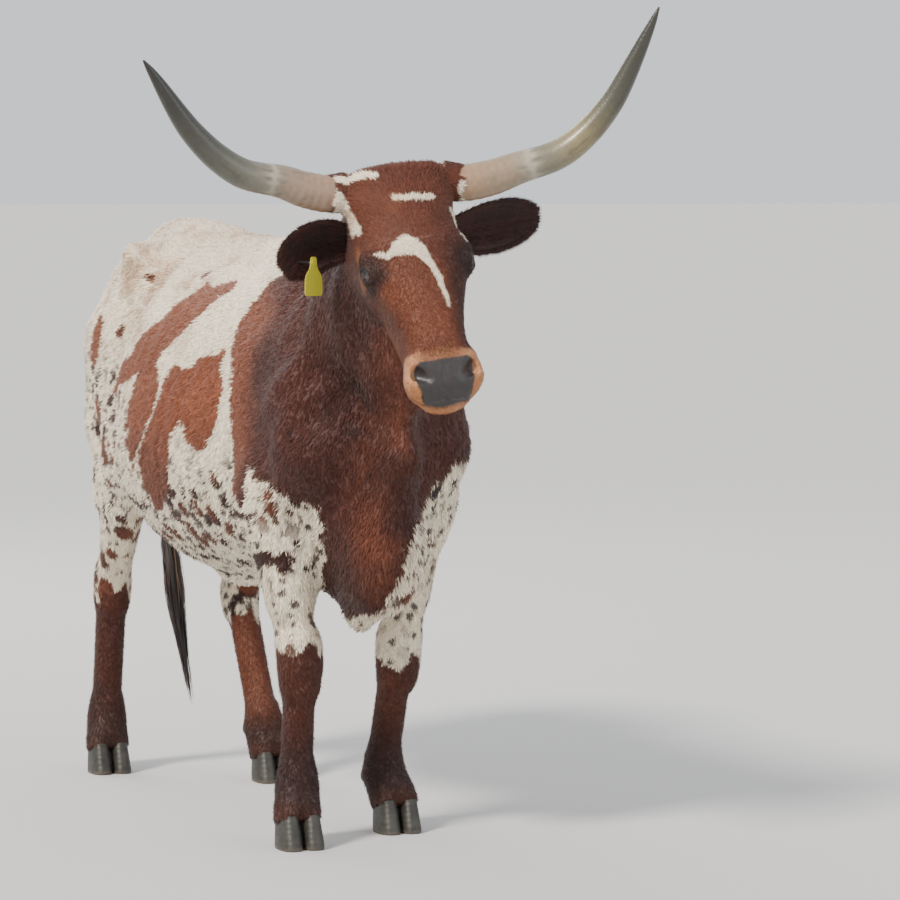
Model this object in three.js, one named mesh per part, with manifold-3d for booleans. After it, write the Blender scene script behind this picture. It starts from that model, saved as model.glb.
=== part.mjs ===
// A Texas longhorn steer, standing with its head up and turned a little, at life size.
// Millimetres. +X is the animal's left, +Y its rear and +Z up, so it faces -Y.
// Its flesh is one smooth field, from which every part is cut, and the origin is the
// middle of its bounding box, on the ground.
import * as THREE from "three";
import { mergeVertices } from "three/addons/utils/BufferGeometryUtils.js";
import Module from "manifold-3d";

const wasm = await Module();
wasm.setup();

const at = (x, y, z) => new THREE.Vector3(x, y, z);
const { lerp, clamp, degToRad } = THREE.MathUtils;
const LEFT = at(1, 0, 0);
const BACK = at(0, 1, 0);
const UP = at(0, 0, 1);

// Driving dimensions
const hipHeight = 1400;
const withersHeight = 1385;
const chestHalfWidth = 225;
const bellyHalfWidth = 322;
const bellyHeight = 556;
const brisketHeight = 478;
const hornReach = { right: 402, left: 466 };
const hornRise = { right: 336, left: 319 };
const hornBaseRadius = 41;
const eyeRadius = 21;
const earLength = 208;
const tagWidth = 52;
const kneeHalfWidth = 51;
const cannonHalfWidth = 37;
const coronetHeight = 72;
const gap = 0.3;

// Where each hoof stands, measured from the middle between the forefeet
const stance = {
  fore_right: { x: -146, y: -22 },
  fore_left: { x: 146, y: 118 },
  hind_right: { x: -168, y: 1310 },
  hind_left: { x: 166, y: 1005 },
};

// The bounding box's middle, measured from the middle between the forefeet
const boxMiddle = at(-86, 381, 0);

// How the head is held
const headPlace = at(-62, -400, 1512);
const headPitch = degToRad(27);
const headYaw = degToRad(-9);
const headRoll = degToRad(7);

// Smooth lines through rows of numbers

// A curve through rows of [station, value, value, ...], flat beyond its ends.
function through(rows) {
  return (station) => {
    const last = rows.length - 1;
    const s = clamp(station, rows[0][0], rows[last][0]);
    let i = 0;
    while (i < last - 1 && s > rows[i + 1][0]) i++;
    const [before, start, end, after] = [
      rows[Math.max(i - 1, 0)],
      rows[i],
      rows[i + 1],
      rows[Math.min(i + 2, last)],
    ];
    const span = end[0] - start[0];
    const t = (s - start[0]) / span;
    return start.slice(1).map((value, k) => {
      const from = (end[k + 1] - before[k + 1]) / Math.max(end[0] - before[0], 1);
      const to = (after[k + 1] - value) / Math.max(after[0] - start[0], 1);
      const rise = end[k + 1] - value;
      return (
        value +
        t * (from * span + t * (3 * rise - (2 * from + to) * span)) +
        t ** 3 * ((from + to) * span - 2 * rise)
      );
    });
  };
}

// Fields: each gives a point's distance from a surface, below zero inside

// A trunk along one axis. Its rows are [station, half width, top, bottom, widest height].
function trunk(rows, fullness) {
  const section = through(rows);
  const [first, last] = [rows[0][0], rows.at(-1)[0]];
  return (station, across, height) => {
    const [halfWidth, top, bottom, widest] = section(station);
    const rise = height - widest;
    const upright = rise > 0 ? rise / (top - widest) : rise / (widest - bottom);
    const share =
      (Math.abs(across / halfWidth) ** fullness + Math.abs(upright) ** fullness) **
      (1 / fullness);
    const narrow = -Math.min(halfWidth, top - widest, widest - bottom);
    const inside =
      share < 0.05 ? narrow : Math.hypot(across, rise) * (1 - 1 / share);
    const beyond = Math.max(first - station, station - last, 0);
    return beyond > 0 ? Math.hypot(Math.max(inside, 0), beyond) : inside;
  };
}

// A limb between two points, with an elliptical section of [half width, half depth].
function limb(from, to, startSize, endSize, across = LEFT) {
  const axis = to.clone().sub(from);
  const length = axis.length();
  axis.divideScalar(length);
  const deep = axis.clone().cross(across).normalize();
  const wide = deep.clone().cross(axis);
  return (p) => {
    const d = p.clone().sub(from);
    const along = d.dot(axis);
    const t = clamp(along / length, 0, 1);
    const a = lerp(startSize[0], endSize[0], t);
    const b = lerp(startSize[1], endSize[1], t);
    const end = Math.min(a, b);
    const [u, v, w] = [d.dot(wide) / a, d.dot(deep) / b, (along - t * length) / end];
    const near = Math.hypot(u, v, w);
    return near < 0.05 ? -end : (near * (near - 1)) / Math.hypot(u / a, v / b, w / end);
  };
}

// Two distances joined with a fillet of about the given width.
function blend(a, b, width) {
  const h = Math.max(width - Math.abs(a - b), 0) / width;
  return Math.min(a, b) - (h * h * width) / 4;
}

// The joint between two bones that reach from a to b, bent towards a side.
function bentJoint(a, b, upper, lower, side) {
  const reach = b.clone().sub(a);
  const length = Math.min(reach.length(), 0.998 * (upper + lower));
  reach.normalize();
  const along = (upper ** 2 - lower ** 2 + length ** 2) / (2 * length);
  const out = side.clone().addScaledVector(reach, -side.dot(reach)).normalize();
  return a
    .clone()
    .addScaledVector(reach, along)
    .addScaledVector(out, Math.sqrt(Math.max(upper ** 2 - along ** 2, 0)));
}

// Torso: barrel, spine, hips, brisket and sheath

// Rows of [rearward, half width, back, underline, widest height]
const barrelField = trunk(
  [
    [-250, 60, 1120, 800, 960],
    [-215, 118, 1190, 700, 960],
    [-130, 176, 1285, 650, 940],
    [-20, 205, 1350, 620, 920],
    [90, chestHalfWidth, withersHeight, 600, 900],
    [250, 268, withersHeight - 25, 600, 880],
    [430, 306, 1352, 575, 870],
    [620, bellyHalfWidth, 1352, bellyHeight, 860],
    [800, 306, 1372, bellyHeight + 22, 880],
    [930, 268, hipHeight - 8, 640, 940],
    [1060, 238, hipHeight, 745, 1010],
    [1190, 196, hipHeight - 8, 850, 1080],
    [1300, 138, 1368, 960, 1150],
    [1350, 70, 1320, 1080, 1200],
  ],
  2.05,
);

const torsoForms = [
  // spine ridge and tail head
  limb(at(0, 60, 1350), at(0, 620, 1318), [48, 32], [42, 32]),
  limb(at(0, 620, 1318), at(0, 1180, 1362), [42, 32], [50, 34]),
  // brisket, its keel and the dewlap that runs up to the throat
  limb(at(0, -190, 690), at(0, 40, 640), [88, 110], [82, 90]),
  limb(at(0, -150, 610), at(0, -30, brisketHeight + 52), [44, 70], [34, 52]),
  limb(at(-6, -262, 900), at(0, -165, 610), [40, 74], [52, 70]),
  limb(at(-14, -335, 1160), at(-6, -262, 900), [24, 60], [38, 74]),
  // sheath on the underline
  limb(at(0, 560, 572), at(0, 730, 560), [40, 34], [26, 22]),
  limb(at(0, 730, 575), at(0, 960, 700), [60, 30], [50, 30]),
];

for (const side of [-1, 1]) {
  torsoForms.push(
    // hook and pin bones
    limb(at(195 * side, 930, 1310), at(232 * side, 905, 1322), [46, 46], [30, 34]),
    limb(at(95 * side, 1290, 1262), at(112 * side, 1352, 1222), [52, 52], [34, 36]),
    // shoulder blade, point of the shoulder, upper arm and elbow muscle
    limb(at(80 * side, 70, 1300), at(144 * side, -70, 1010), [50, 92], [66, 100]),
    limb(at(144 * side, -70, 1010), at(138 * side, -140, 900), [68, 92], [68, 74]),
    limb(at(146 * side, -112, 890), at(170 * side, 40, 770), [70, 80], [62, 92]),
    limb(at(146 * side, 110, 1090), at(184 * side, 70, 780), [66, 108], [56, 90]),
    // loin and rump muscle down into the thigh
    limb(at(150 * side, 960, 1230), at(176 * side, 1130, 1060), [96, 120], [92, 170]),
    limb(at(110 * side, 1290, 1180), at(158 * side, 1235, 900), [70, 84], [74, 96]),
  );
}

// Legs

// Forelegs run elbow, knee, fetlock; hind legs stifle, hock, fetlock.
function foreJoints(side, foot) {
  const elbow = at(172 * side, 48, 760);
  const fetlock = at(foot.x - 14 * side, foot.y + 40, 150);
  return {
    side,
    foot,
    top: elbow,
    middle: bentJoint(elbow, fetlock, 352, 266, at(-0.35 * side, -1, 0)),
    fetlock,
  };
}

function hindJoints(side, foot) {
  const stifle = at(212 * side, 925 + 0.1 * (foot.y - 1200), 822);
  const fetlock = at(foot.x - 10 * side, foot.y + 38, 152);
  return {
    side,
    foot,
    top: stifle,
    middle: bentJoint(stifle, fetlock, 466, 352, at(-0.14 * side, 1, 0.15)),
    fetlock,
  };
}

const legs = {
  fore_right: foreJoints(-1, stance.fore_right),
  fore_left: foreJoints(1, stance.fore_left),
  hind_right: hindJoints(-1, stance.hind_right),
  hind_left: hindJoints(1, stance.hind_left),
};

// A point part of the way from a to b, moved by the given amounts.
function between(a, b, share, x = 0, y = 0, z = 0) {
  return a.clone().lerp(b, share).add(at(x, y, z));
}

// From below the knee or hock to the two digits, alike on all four legs.
function shankForms({ middle, fetlock, foot, side }, halfWidth) {
  const digits = [-1, 1].map((way) =>
    limb(
      between(fetlock, fetlock, 0, 16 * way, 2, -22),
      at(foot.x + 29 * way, foot.y + 4, coronetHeight - 10),
      [25, 36],
      [27, 44],
    ),
  );
  return [
    limb(middle, fetlock, [halfWidth, halfWidth + 3], [halfWidth - 2, halfWidth]),
    limb(
      between(middle, fetlock, 0.18, 0, halfWidth * 0.75),
      between(fetlock, fetlock, 0, 0, 20, 26),
      [halfWidth * 0.6, 18],
      [halfWidth * 0.72, 22],
    ),
    limb(
      between(fetlock, fetlock, 0, 0, -4, 14),
      between(fetlock, fetlock, 0, 0, 4, -16),
      [40, 42],
      [40, 42],
    ),
    limb(
      between(fetlock, fetlock, 0, 2 * side, 0, -10),
      at(foot.x, foot.y + 12, coronetHeight + 22),
      [38, 38],
      [44, 43],
    ),
    ...digits,
  ];
}

function foreForms(leg) {
  const { top, middle } = leg;
  return [
    limb(between(top, top, 0, 0, 8, 40), between(top, middle, 0.55), [68, 104], [54, 64]),
    limb(top, middle, [64, 84], [43, 46]),
    limb(
      between(middle, middle, 0, 0, -3, 42),
      between(middle, middle, 0, 0, -1, -44),
      [kneeHalfWidth, 47],
      [kneeHalfWidth - 4, 44],
    ),
    limb(
      between(middle, middle, 0, 0, 34, 26),
      between(middle, middle, 0, 0, 26, -20),
      [34, 26],
      [30, 24],
    ),
    ...shankForms(leg, cannonHalfWidth),
  ];
}

function hindForms(leg) {
  const { top, middle, side } = leg;
  const hip = at(150 * side, 1085, 1130);
  const hockPoint = between(middle, middle, 0, 0, 46, 44);
  return [
    // thigh, buttock and stifle
    limb(hip, between(top, top, 0, -10 * side, 30, 30), [104, 178], [80, 118]),
    limb(
      at(140 * side, 1265, 1090),
      between(top, middle, 0.5, 0, 60, 60),
      [84, 108],
      [58, 66],
    ),
    limb(between(top, top, 0, 0, 8, 16), between(top, top, 0, 0, 24, -30), [70, 74], [60, 72]),
    // gaskin, its calf and the tendon to the point of the hock
    limb(between(top, top, 0, 0, 50, -10), middle, [64, 96], [40, 46]),
    limb(between(top, middle, 0.3, 0, 92, 40), between(top, middle, 0.8, 0, 52, 36), [50, 64], [26, 34]),
    limb(between(top, middle, 0.62, 0, 82, 50), hockPoint, [18, 26], [20, 22]),
    // hock
    limb(hockPoint, between(middle, middle, 0, 0, 14, -30), [26, 28], [36, 40]),
    limb(
      between(middle, middle, 0, 0, -4, 34),
      between(middle, middle, 0, 0, 0, -52),
      [43, 46],
      [39, 43],
    ),
    ...shankForms(leg, cannonHalfWidth + 1),
  ];
}

const legForms = Object.entries(legs).flatMap(([name, leg]) =>
  name.startsWith("fore") ? foreForms(leg) : hindForms(leg),
);

// Tail, hung from the tail head down between the hocks

const tailPath = new THREE.CatmullRomCurve3([
  at(0, 1262, 1348),
  at(0, 1345, 1338),
  at(0, 1405, 1268),
  at(4, 1430, 1130),
  at(14, 1424, 900),
  at(24, 1408, 700),
  at(30, 1398, 560),
]);
// The tail's radius thins quickly from its root, then slowly to its end
const dockShare = 0.4;
const tailRadius = (t) =>
  t < dockShare
    ? lerp(42, 21, (t / dockShare) ** 0.6)
    : lerp(21, 11, (t - dockShare) / (1 - dockShare));

// Head, in a frame of its own: the face is upright, the poll at the origin, nose down

const levelFrame = new THREE.Matrix4().compose(
  headPlace,
  new THREE.Quaternion()
    .setFromAxisAngle(UP, headYaw)
    .multiply(new THREE.Quaternion().setFromAxisAngle(BACK, -headRoll)),
  at(1, 1, 1),
);
const headFrame = levelFrame.clone().multiply(new THREE.Matrix4().makeRotationX(-headPitch));
const intoHead = headFrame.clone().invert();
const onHead = (x, y, z) => at(x, y, z).applyMatrix4(headFrame);

// Rows of [down the face, half width, front, back, widest depth], front and back along -Y
const skullField = trunk(
  [
    [-14, 60, 22, -62, -20],
    [4, 104, 44, -88, -22],
    [44, 122, 60, -102, -20],
    [100, 112, 72, -112, -18],
    [160, 108, 80, -118, -10],
    [215, 114, 80, -128, -4],
    [275, 101, 76, -118, 0],
    [335, 82, 71, -84, 4],
    [395, 70, 66, -56, 8],
    [445, 73, 62, -48, 10],
    [490, 82, 58, -44, 8],
    [522, 76, 46, -34, 4],
    [542, 50, 24, -14, 2],
  ],
  2.5,
);
const eyePlace = (side) => at(98 * side, -21, -239);
const eyeWay = (side) => at(0.86 * side, -0.48, 0.08).normalize();

const headForms = [-1, 1].flatMap((side) => [
  // horn boss, brow over the eye, cheek, jaw, and the nostril's wing
  limb(at(60 * side, 10, -34), at(132 * side, 12, -24), [50, 48], [39, 39], UP),
  limb(at(68 * side, -46, -180), at(106 * side, -27, -208), [30, 22], [22, 18], UP),
  limb(at(62 * side, 36, -226), at(70 * side, 66, -250), [46, 60], [38, 66]),
  limb(at(64 * side, 74, -236), at(44 * side, 26, -440), [26, 48], [22, 22]),
  limb(at(52 * side, -34, -462), at(60 * side, -26, -496), [26, 28], [26, 26]),
]);
headForms.push(
  // poll cushion, bridge of the nose, and the lower lip and chin
  limb(at(-76, 0, -14), at(76, 0, -14), [44, 28], [44, 28], BACK),
  limb(at(0, -52, -200), at(0, -48, -430), [54, 22], [46, 18]),
  limb(at(0, 20, -440), at(0, 20, -530), [50, 24], [54, 27]),
);
for (const side of [-1, 1]) {
  const lid = eyeRadius + 6;
  const shift = eyeWay(side).multiplyScalar(2);
  headForms.push(limb(eyePlace(side), eyePlace(side).add(shift), [lid, lid], [lid, lid]));
}

// Nostrils, hollowed out of the muzzle
const nostrils = [-1, 1].map((side) =>
  limb(at(40 * side, -60, -504), at(62 * side, -48, -488), [9, 13], [11, 15]),
);

// Neck, between the withers and the back of the head

const neckForms = [
  limb(at(0, -10, 1120), at(-16, -215, 1222), [150, 262], [116, 196]),
  limb(at(-16, -215, 1222), onHead(0, 62, -128), [116, 196], [92, 126]),
  // crest, gullet and the muscle from the shoulder up to the jaw
  limb(at(0, 10, 1345), onHead(0, 44, -18), [52, 44], [62, 50]),
  limb(at(-12, -290, 1080), onHead(0, 84, -236), [60, 92], [52, 60]),
  limb(at(96, -60, 1080), onHead(44, 70, -130), [70, 104], [50, 60]),
  limb(at(-96, -60, 1080), onHead(-44, 70, -130), [70, 104], [50, 60]),
];

// The whole flesh
const trunkBlend = 70;
const limbBlend = 26;
const headBlend = 20;

function headFlesh(local) {
  let d = skullField(-local.z, local.x, -local.y);
  for (const form of headForms) d = blend(d, form(local), headBlend);
  for (const form of nostrils) d = -blend(-d, form(local), 8);
  return d;
}

function flesh(p) {
  let d = barrelField(p.y, p.x, p.z);
  for (const form of torsoForms) d = blend(d, form(p), trunkBlend);
  for (const form of neckForms) d = blend(d, form(p), trunkBlend);
  let leg = Infinity;
  for (const form of legForms) leg = blend(leg, form(p), limbBlend);
  d = blend(d, leg, trunkBlend);
  return blend(d, headFlesh(p.clone().applyMatrix4(intoHead)), trunkBlend * 0.6);
}

// From fields to meshes

// The field's slope, which points outwards.
function slope(field, p, step = 1) {
  const here = field(p);
  return at(
    field(p.clone().addScaledVector(LEFT, step)) - here,
    field(p.clone().addScaledVector(BACK, step)) - here,
    field(p.clone().addScaledVector(UP, step)) - here,
  ).divideScalar(step);
}

// Grid stations from runs of [start, end, step], each run beginning where the last one ends.
function stations(...runs) {
  const list = runs.flatMap(([start, end, step]) => {
    const count = Math.round((end - start) / step);
    return Array.from({ length: count }, (_, i) => lerp(start, end, i / count));
  });
  return [...list, runs.at(-1)[1]];
}

// Grid squares that only two opposite corners fill would pinch the surface, so a third is filled.
function fillPinches(value, count, node) {
  const barely = -0.5;
  const squares = [
    [
      [1, 0, 0],
      [0, 1, 0],
    ],
    [
      [0, 1, 0],
      [0, 0, 1],
    ],
    [
      [0, 0, 1],
      [1, 0, 0],
    ],
  ];
  let filled = true;
  while (filled) {
    filled = false;
    for (let k = 0; k + 1 < count[2]; k++)
      for (let j = 0; j + 1 < count[1]; j++)
        for (let i = 0; i + 1 < count[0]; i++)
          for (const [u, v] of squares) {
            const ids = [
              node(i, j, k),
              node(i + u[0], j + u[1], k + u[2]),
              node(i + u[0] + v[0], j + u[1] + v[1], k + u[2] + v[2]),
              node(i + v[0], j + v[1], k + v[2]),
            ];
            const [a, b, c, d] = ids.map((id) => value[id] < 0);
            if (a !== c || b !== d || a === b) continue;
            value[a ? ids[1] : ids[0]] = barely;
            filled = true;
          }
  }
}

// One vertex in each cell that the surface crosses, and two faces across each crossed edge.
function surfaceOf(field, grid) {
  const count = grid.map((axis) => axis.length);
  const node = (i, j, k) => i + count[0] * (j + count[1] * k);
  const place = (i, j, k) => at(grid[0][i], grid[1][j], grid[2][k]);
  const value = new Float64Array(count[0] * count[1] * count[2]);
  const each = (margin, visit) => {
    for (let k = 0; k < count[2] - margin; k++)
      for (let j = 0; j < count[1] - margin; j++)
        for (let i = 0; i < count[0] - margin; i++) visit(i, j, k);
  };
  each(0, (i, j, k) => {
    value[node(i, j, k)] = field(place(i, j, k));
  });
  fillPinches(value, count, node);
  const corners = [0, 1, 2, 3, 4, 5, 6, 7].map((c) => [c & 1, (c >> 1) & 1, c >> 2]);
  const edges = corners.flatMap((c, a) =>
    [1, 2, 4].filter((bit) => !(a & bit)).map((bit) => [a, a | bit]),
  );
  const vertexOf = new Map();
  const positions = [];
  each(1, (i, j, k) => {
    const values = corners.map(([x, y, z]) => value[node(i + x, j + y, k + z)]);
    const inside = values.filter((v) => v < 0).length;
    if (inside === 0 || inside === 8) return;
    const mean = at(0, 0, 0);
    let crossings = 0;
    for (const [a, b] of edges) {
      if (values[a] < 0 === values[b] < 0) continue;
      const t = values[a] / (values[a] - values[b]);
      mean.add(at(...corners[a]).lerp(at(...corners[b]), t));
      crossings++;
    }
    const low = place(i, j, k);
    const size = place(i + 1, j + 1, k + 1).sub(low);
    mean.divideScalar(crossings).multiply(size).add(low);
    // a few steps down the slope bring it onto the surface
    const most = Math.min(size.x, size.y, size.z) / 4;
    for (let step = 0; step < 4; step++) {
      const way = slope(field, mean);
      const move = clamp(-field(mean) / Math.max(way.lengthSq(), 0.2), -most, most);
      mean.addScaledVector(way, move);
    }
    vertexOf.set(node(i, j, k), positions.length / 3);
    positions.push(...mean.toArray());
  });
  const axes = [
    [1, 0, 0],
    [0, 1, 0],
    [0, 0, 1],
  ];
  const indices = [];
  each(1, (i, j, k) => {
    const here = value[node(i, j, k)] < 0;
    axes.forEach((way, axis) => {
      const there = value[node(i + way[0], j + way[1], k + way[2])] < 0;
      if (here === there || [i, j, k].some((n, a) => a !== axis && n === 0)) return;
      const [u, v] = [(axis + 1) % 3, (axis + 2) % 3];
      const around = [
        [0, 0],
        [1, 0],
        [1, 1],
        [0, 1],
      ].map(([du, dv]) => {
        const c = [i, j, k];
        c[u] -= du;
        c[v] -= dv;
        return vertexOf.get(node(...c));
      });
      const [a, b, c, d] = here ? around : around.reverse();
      indices.push(a, b, c, a, c, d);
    });
  });
  return meshOf(positions, indices);
}

function meshOf(positions, indices) {
  const geometry = new THREE.BufferGeometry();
  geometry.setAttribute("position", new THREE.Float32BufferAttribute(positions, 3));
  geometry.setIndex(indices);
  return geometry;
}

// A closed skin over rings of points, each ring with the same count, ends filled.
function loft(rings) {
  const sides = rings[0].length;
  const positions = rings.flat().flatMap((p) => p.toArray());
  const indices = [];
  for (let r = 0; r + 1 < rings.length; r++)
    for (let s = 0; s < sides; s++) {
      const [a, b] = [r * sides + s, r * sides + ((s + 1) % sides)];
      indices.push(a, b, b + sides, a, b + sides, a + sides);
    }
  const cap = (ring, base, turned) => {
    const middle = ring.reduce((sum, p) => sum.add(p), at(0, 0, 0)).divideScalar(sides);
    const hub = positions.length / 3;
    positions.push(...middle.toArray());
    for (let s = 0; s < sides; s++) {
      const [a, b] = [base + s, base + ((s + 1) % sides)];
      indices.push(hub, ...(turned ? [b, a] : [a, b]));
    }
  };
  cap(rings[0], 0, true);
  cap(rings.at(-1), (rings.length - 1) * sides, false);
  return meshOf(positions, indices);
}

// Two directions square to a third, turned so that across, deep and normal are right-handed.
function squareTo(normal, across = LEFT) {
  const deep = normal.clone().cross(across).normalize();
  return { wide: deep.clone().cross(normal).normalize(), deep };
}

// A flat ring about a centre; its reach is given for each angle.
function ring(centre, normal, sides, reach, across = LEFT) {
  const { wide, deep } = squareTo(normal, across);
  return Array.from({ length: sides }, (_, s) => {
    const angle = (2 * Math.PI * s) / sides;
    const [u, v] = [Math.cos(angle), Math.sin(angle)];
    const way = wide.clone().multiplyScalar(u).addScaledVector(deep, v);
    return centre.clone().addScaledVector(way, reach(angle, way));
  });
}

// A ring on a field's surface, found outwards from a centre, at most so far away.
function ringOn(field, centre, normal, sides, most) {
  return ring(centre, normal, sides, (angle, way) => {
    const inside = (r) => field(centre.clone().addScaledVector(way, r)) < 0;
    const march = 6;
    let far = march;
    while (far < most && inside(far)) far += march;
    let near = far - march;
    for (let halving = 0; halving < 10; halving++) {
      const middle = (near + far) / 2;
      if (inside(middle)) near = middle;
      else far = middle;
    }
    return Math.min(near, most);
  });
}

// A tapered rod along a curve; its reach is given for each share of the length.
function rod(curve, sides, count, radius) {
  return loft(
    Array.from({ length: count }, (_, i) => {
      const t = i / (count - 1);
      return ring(curve.getPointAt(t), curve.getTangentAt(t), sides, () => radius(t));
    }),
  );
}

// Solids, for joining and cutting
function solid(geometry) {
  const bare = new THREE.BufferGeometry();
  bare.setAttribute("position", geometry.getAttribute("position"));
  bare.setIndex(geometry.index);
  const merged = mergeVertices(bare, 1e-3);
  return new wasm.Manifold(
    new wasm.Mesh({
      numProp: 3,
      vertProperties: merged.attributes.position.array,
      triVerts: new Uint32Array(merged.index.array),
    }),
  );
}

function geometryOf(manifold) {
  const mesh = manifold.getMesh();
  return meshOf(mesh.vertProperties, [...mesh.triVerts]);
}

// The largest closed piece of a solid
function largest(manifold) {
  return manifold.decompose().reduce((a, b) => (b.volume() > a.volume() ? b : a));
}

// A block on the far side of a cutting plane, as wide and deep as given, moved along its normal.
function farSide({ point, normal }, shift, width, depth, thickness = 2000) {
  const block = new THREE.BoxGeometry(width, depth, thickness);
  block.translate(0, 0, thickness / 2 + shift);
  const { wide, deep } = squareTo(normal);
  block.applyMatrix4(new THREE.Matrix4().makeBasis(wide, deep, normal).setPosition(point));
  return solid(block);
}

function nearSide({ point, normal }, shift, width, depth, thickness = 2000) {
  return farSide({ point, normal: normal.clone().negate() }, -shift, width, depth, thickness);
}

// Planes that part the body. Each normal points away from the torso.
const onHeadWay = (x, y, z) => at(x, y, z).transformDirection(headFrame);
const cuts = {
  neckBase: { point: at(-8, -150, 1060), normal: at(-0.05, -0.92, 0.36).normalize() },
  neckTop: { point: onHead(0, 96, -128), normal: onHeadWay(0, -0.976, -0.217) },
  tailRoot: { point: tailPath.getPointAt(0.13), normal: tailPath.getTangentAt(0.13) },
};
for (const [name, { side, top, middle }] of Object.entries(legs)) {
  const fore = name.startsWith("fore");
  cuts[name] = fore
    ? { point: between(top, top, 0, 0, 6, -76), normal: at(0.56 * side, 0, -0.83) }
    : { point: between(top, middle, 0.14, 0, 84), normal: at(0.3 * side, 0.12, -0.94) };
  cuts[name].normal.normalize();
}

const part = new THREE.Group();
part.position.copy(boxMiddle).negate();

const colours = {
  coat: 0xe6dccd,
  red: 0x8a4b33,
  dark: 0x3a2a24,
  horn: 0xb3ab94,
  eye: 0x120c0a,
  hoof: 0x2b2623,
  tag: 0xd8c02a,
};

function add(name, shape, colour, roughness = 0.8) {
  const geometry = shape instanceof wasm.Manifold ? geometryOf(shape) : shape;
  const material = new THREE.MeshStandardMaterial({ color: colour, roughness, metalness: 0 });
  const mesh = new THREE.Mesh(geometry, material);
  mesh.name = name;
  part.add(mesh);
}

// Torso, which keeps the shoulders, the thighs and the root of the tail
const past = ({ point, normal }, p) => p.clone().sub(point).dot(normal);
const spare = 40;
const legInside = 66;
const torsoGrid = [
  stations([-420, 420, 56]),
  stations([-420, 120, 50], [120, 1480, 76]),
  stations([430, 1480, 58]),
];
let torso = solid(
  surfaceOf((p) => {
    let d = Math.max(flesh(p), past(cuts.neckBase, p) - spare, p.y - 1425);
    for (const [name, { side }] of Object.entries(legs)) {
      const aside = Math.min(p.x * side - legInside, 270 - Math.abs(p.y - cuts[name].point.y));
      d = Math.max(d, Math.min(past(cuts[name], p) - spare, aside));
    }
    return d;
  }, torsoGrid),
);
const tail = solid(rod(tailPath, 9, 18, tailRadius));
const tailSpace = solid(rod(tailPath, 9, 18, (t) => tailRadius(t) + gap));
torso = torso
  .subtract(tailSpace.subtract(nearSide(cuts.tailRoot, -gap / 2, 300, 300)))
  .add(tail.subtract(farSide(cuts.tailRoot, -gap / 2, 300, 300)));
torso = torso.subtract(farSide(cuts.neckBase, -gap / 2, 1200, 1600));
for (const name of Object.keys(legs))
  torso = torso.subtract(farSide(cuts[name], -gap / 2, 330, 560));
add("torso", largest(torso), colours.coat);

// Neck
const neckGrid = [
  stations([-300, 300, 38]),
  stations([-560, 60, 40]),
  stations([560, 1600, 47]),
];
let neck = solid(
  surfaceOf(
    (p) => Math.max(flesh(p), -past(cuts.neckBase, p) - spare, past(cuts.neckTop, p) - spare),
    neckGrid,
  ),
);
neck = neck
  .subtract(nearSide(cuts.neckBase, gap / 2, 1200, 1600))
  .subtract(farSide(cuts.neckTop, -gap / 2, 1200, 1600));
add("neck", largest(neck), colours.dark);

// Head, made in its own frame, with sockets, lids and the line of the mouth cut into it
const headGrid = [
  stations([-190, -120, 23], [-120, 120, 15], [120, 190, 23]),
  stations([-130, 68, 18], [68, 200, 33]),
  stations([-590, -440, 15], [-440, -290, 25], [-290, -200, 15], [-200, 80, 23]),
];
const headBack = { point: at(0, 96, -128), normal: at(0, 0.976, 0.217) };
let head = solid(
  surfaceOf(
    (local) =>
      Math.max(flesh(local.clone().applyMatrix4(headFrame)), past(headBack, local) - spare / 2),
    headGrid,
  ),
);

// A ball about a point
function ball(radius, place) {
  return new THREE.SphereGeometry(radius, 14, 10).translate(...place.toArray());
}

// The almond between the lids, drawn wide along the line of the lids and pushed outwards
const lidWidth = 19;
const lidHeight = 12.5;
for (const side of [-1, 1]) {
  const almond = new THREE.Shape();
  almond.moveTo(-lidWidth, 0);
  almond.quadraticCurveTo(-2, 2.1 * lidHeight, lidWidth, 2);
  almond.quadraticCurveTo(0, -1.9 * lidHeight, -lidWidth, 0);
  const opening = new THREE.ExtrudeGeometry(almond, {
    depth: 60,
    curveSegments: 7,
    bevelEnabled: false,
  });
  const way = eyeWay(side);
  const along = at(0, 0.42, 0.9).addScaledVector(way, -at(0, 0.42, 0.9).dot(way)).normalize();
  const across = way.clone().cross(along);
  opening.applyMatrix4(
    new THREE.Matrix4().makeBasis(along, across, way).setPosition(eyePlace(side)),
  );
  head = head
    .subtract(solid(ball(eyeRadius + gap, eyePlace(side))))
    .subtract(solid(opening));
}

// The mouth is a groove along a curved sheet that runs back from the lips
const mouthDepth = 9;
const mouthHalf = 2.2;
const lips = new THREE.CatmullRomCurve3([
  at(0, -6, -575),
  at(0, -3, -530),
  at(0, 5, -490),
  at(0, 18, -440),
  at(0, 24, -418),
]);
const slotShape = new THREE.Shape();
const slotSide = (t, way) => {
  const p = lips.getPointAt(t);
  return [p.y + way * mouthHalf, p.z];
};
slotShape.moveTo(...slotSide(0, -1));
for (const t of [0.3, 0.6, 0.85, 1]) slotShape.lineTo(...slotSide(t, -1));
for (const t of [1, 0.85, 0.6, 0.3, 0]) slotShape.lineTo(...slotSide(t, 1));
const slot = new THREE.ExtrudeGeometry(slotShape, { depth: 240, bevelEnabled: false });
slot.applyMatrix4(new THREE.Matrix4().makeBasis(BACK, UP, LEFT).setPosition(-120, 0, 0));
const mouthCore = surfaceOf(
  (p) => Math.max(headFlesh(p) + mouthDepth, p.z + 400),
  [stations([-105, 105, 15]), stations([-80, 90, 15]), stations([-580, -380, 16])],
);
head = head.subtract(solid(slot).subtract(solid(mouthCore)));

head = solid(geometryOf(head).applyMatrix4(headFrame));

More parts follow.
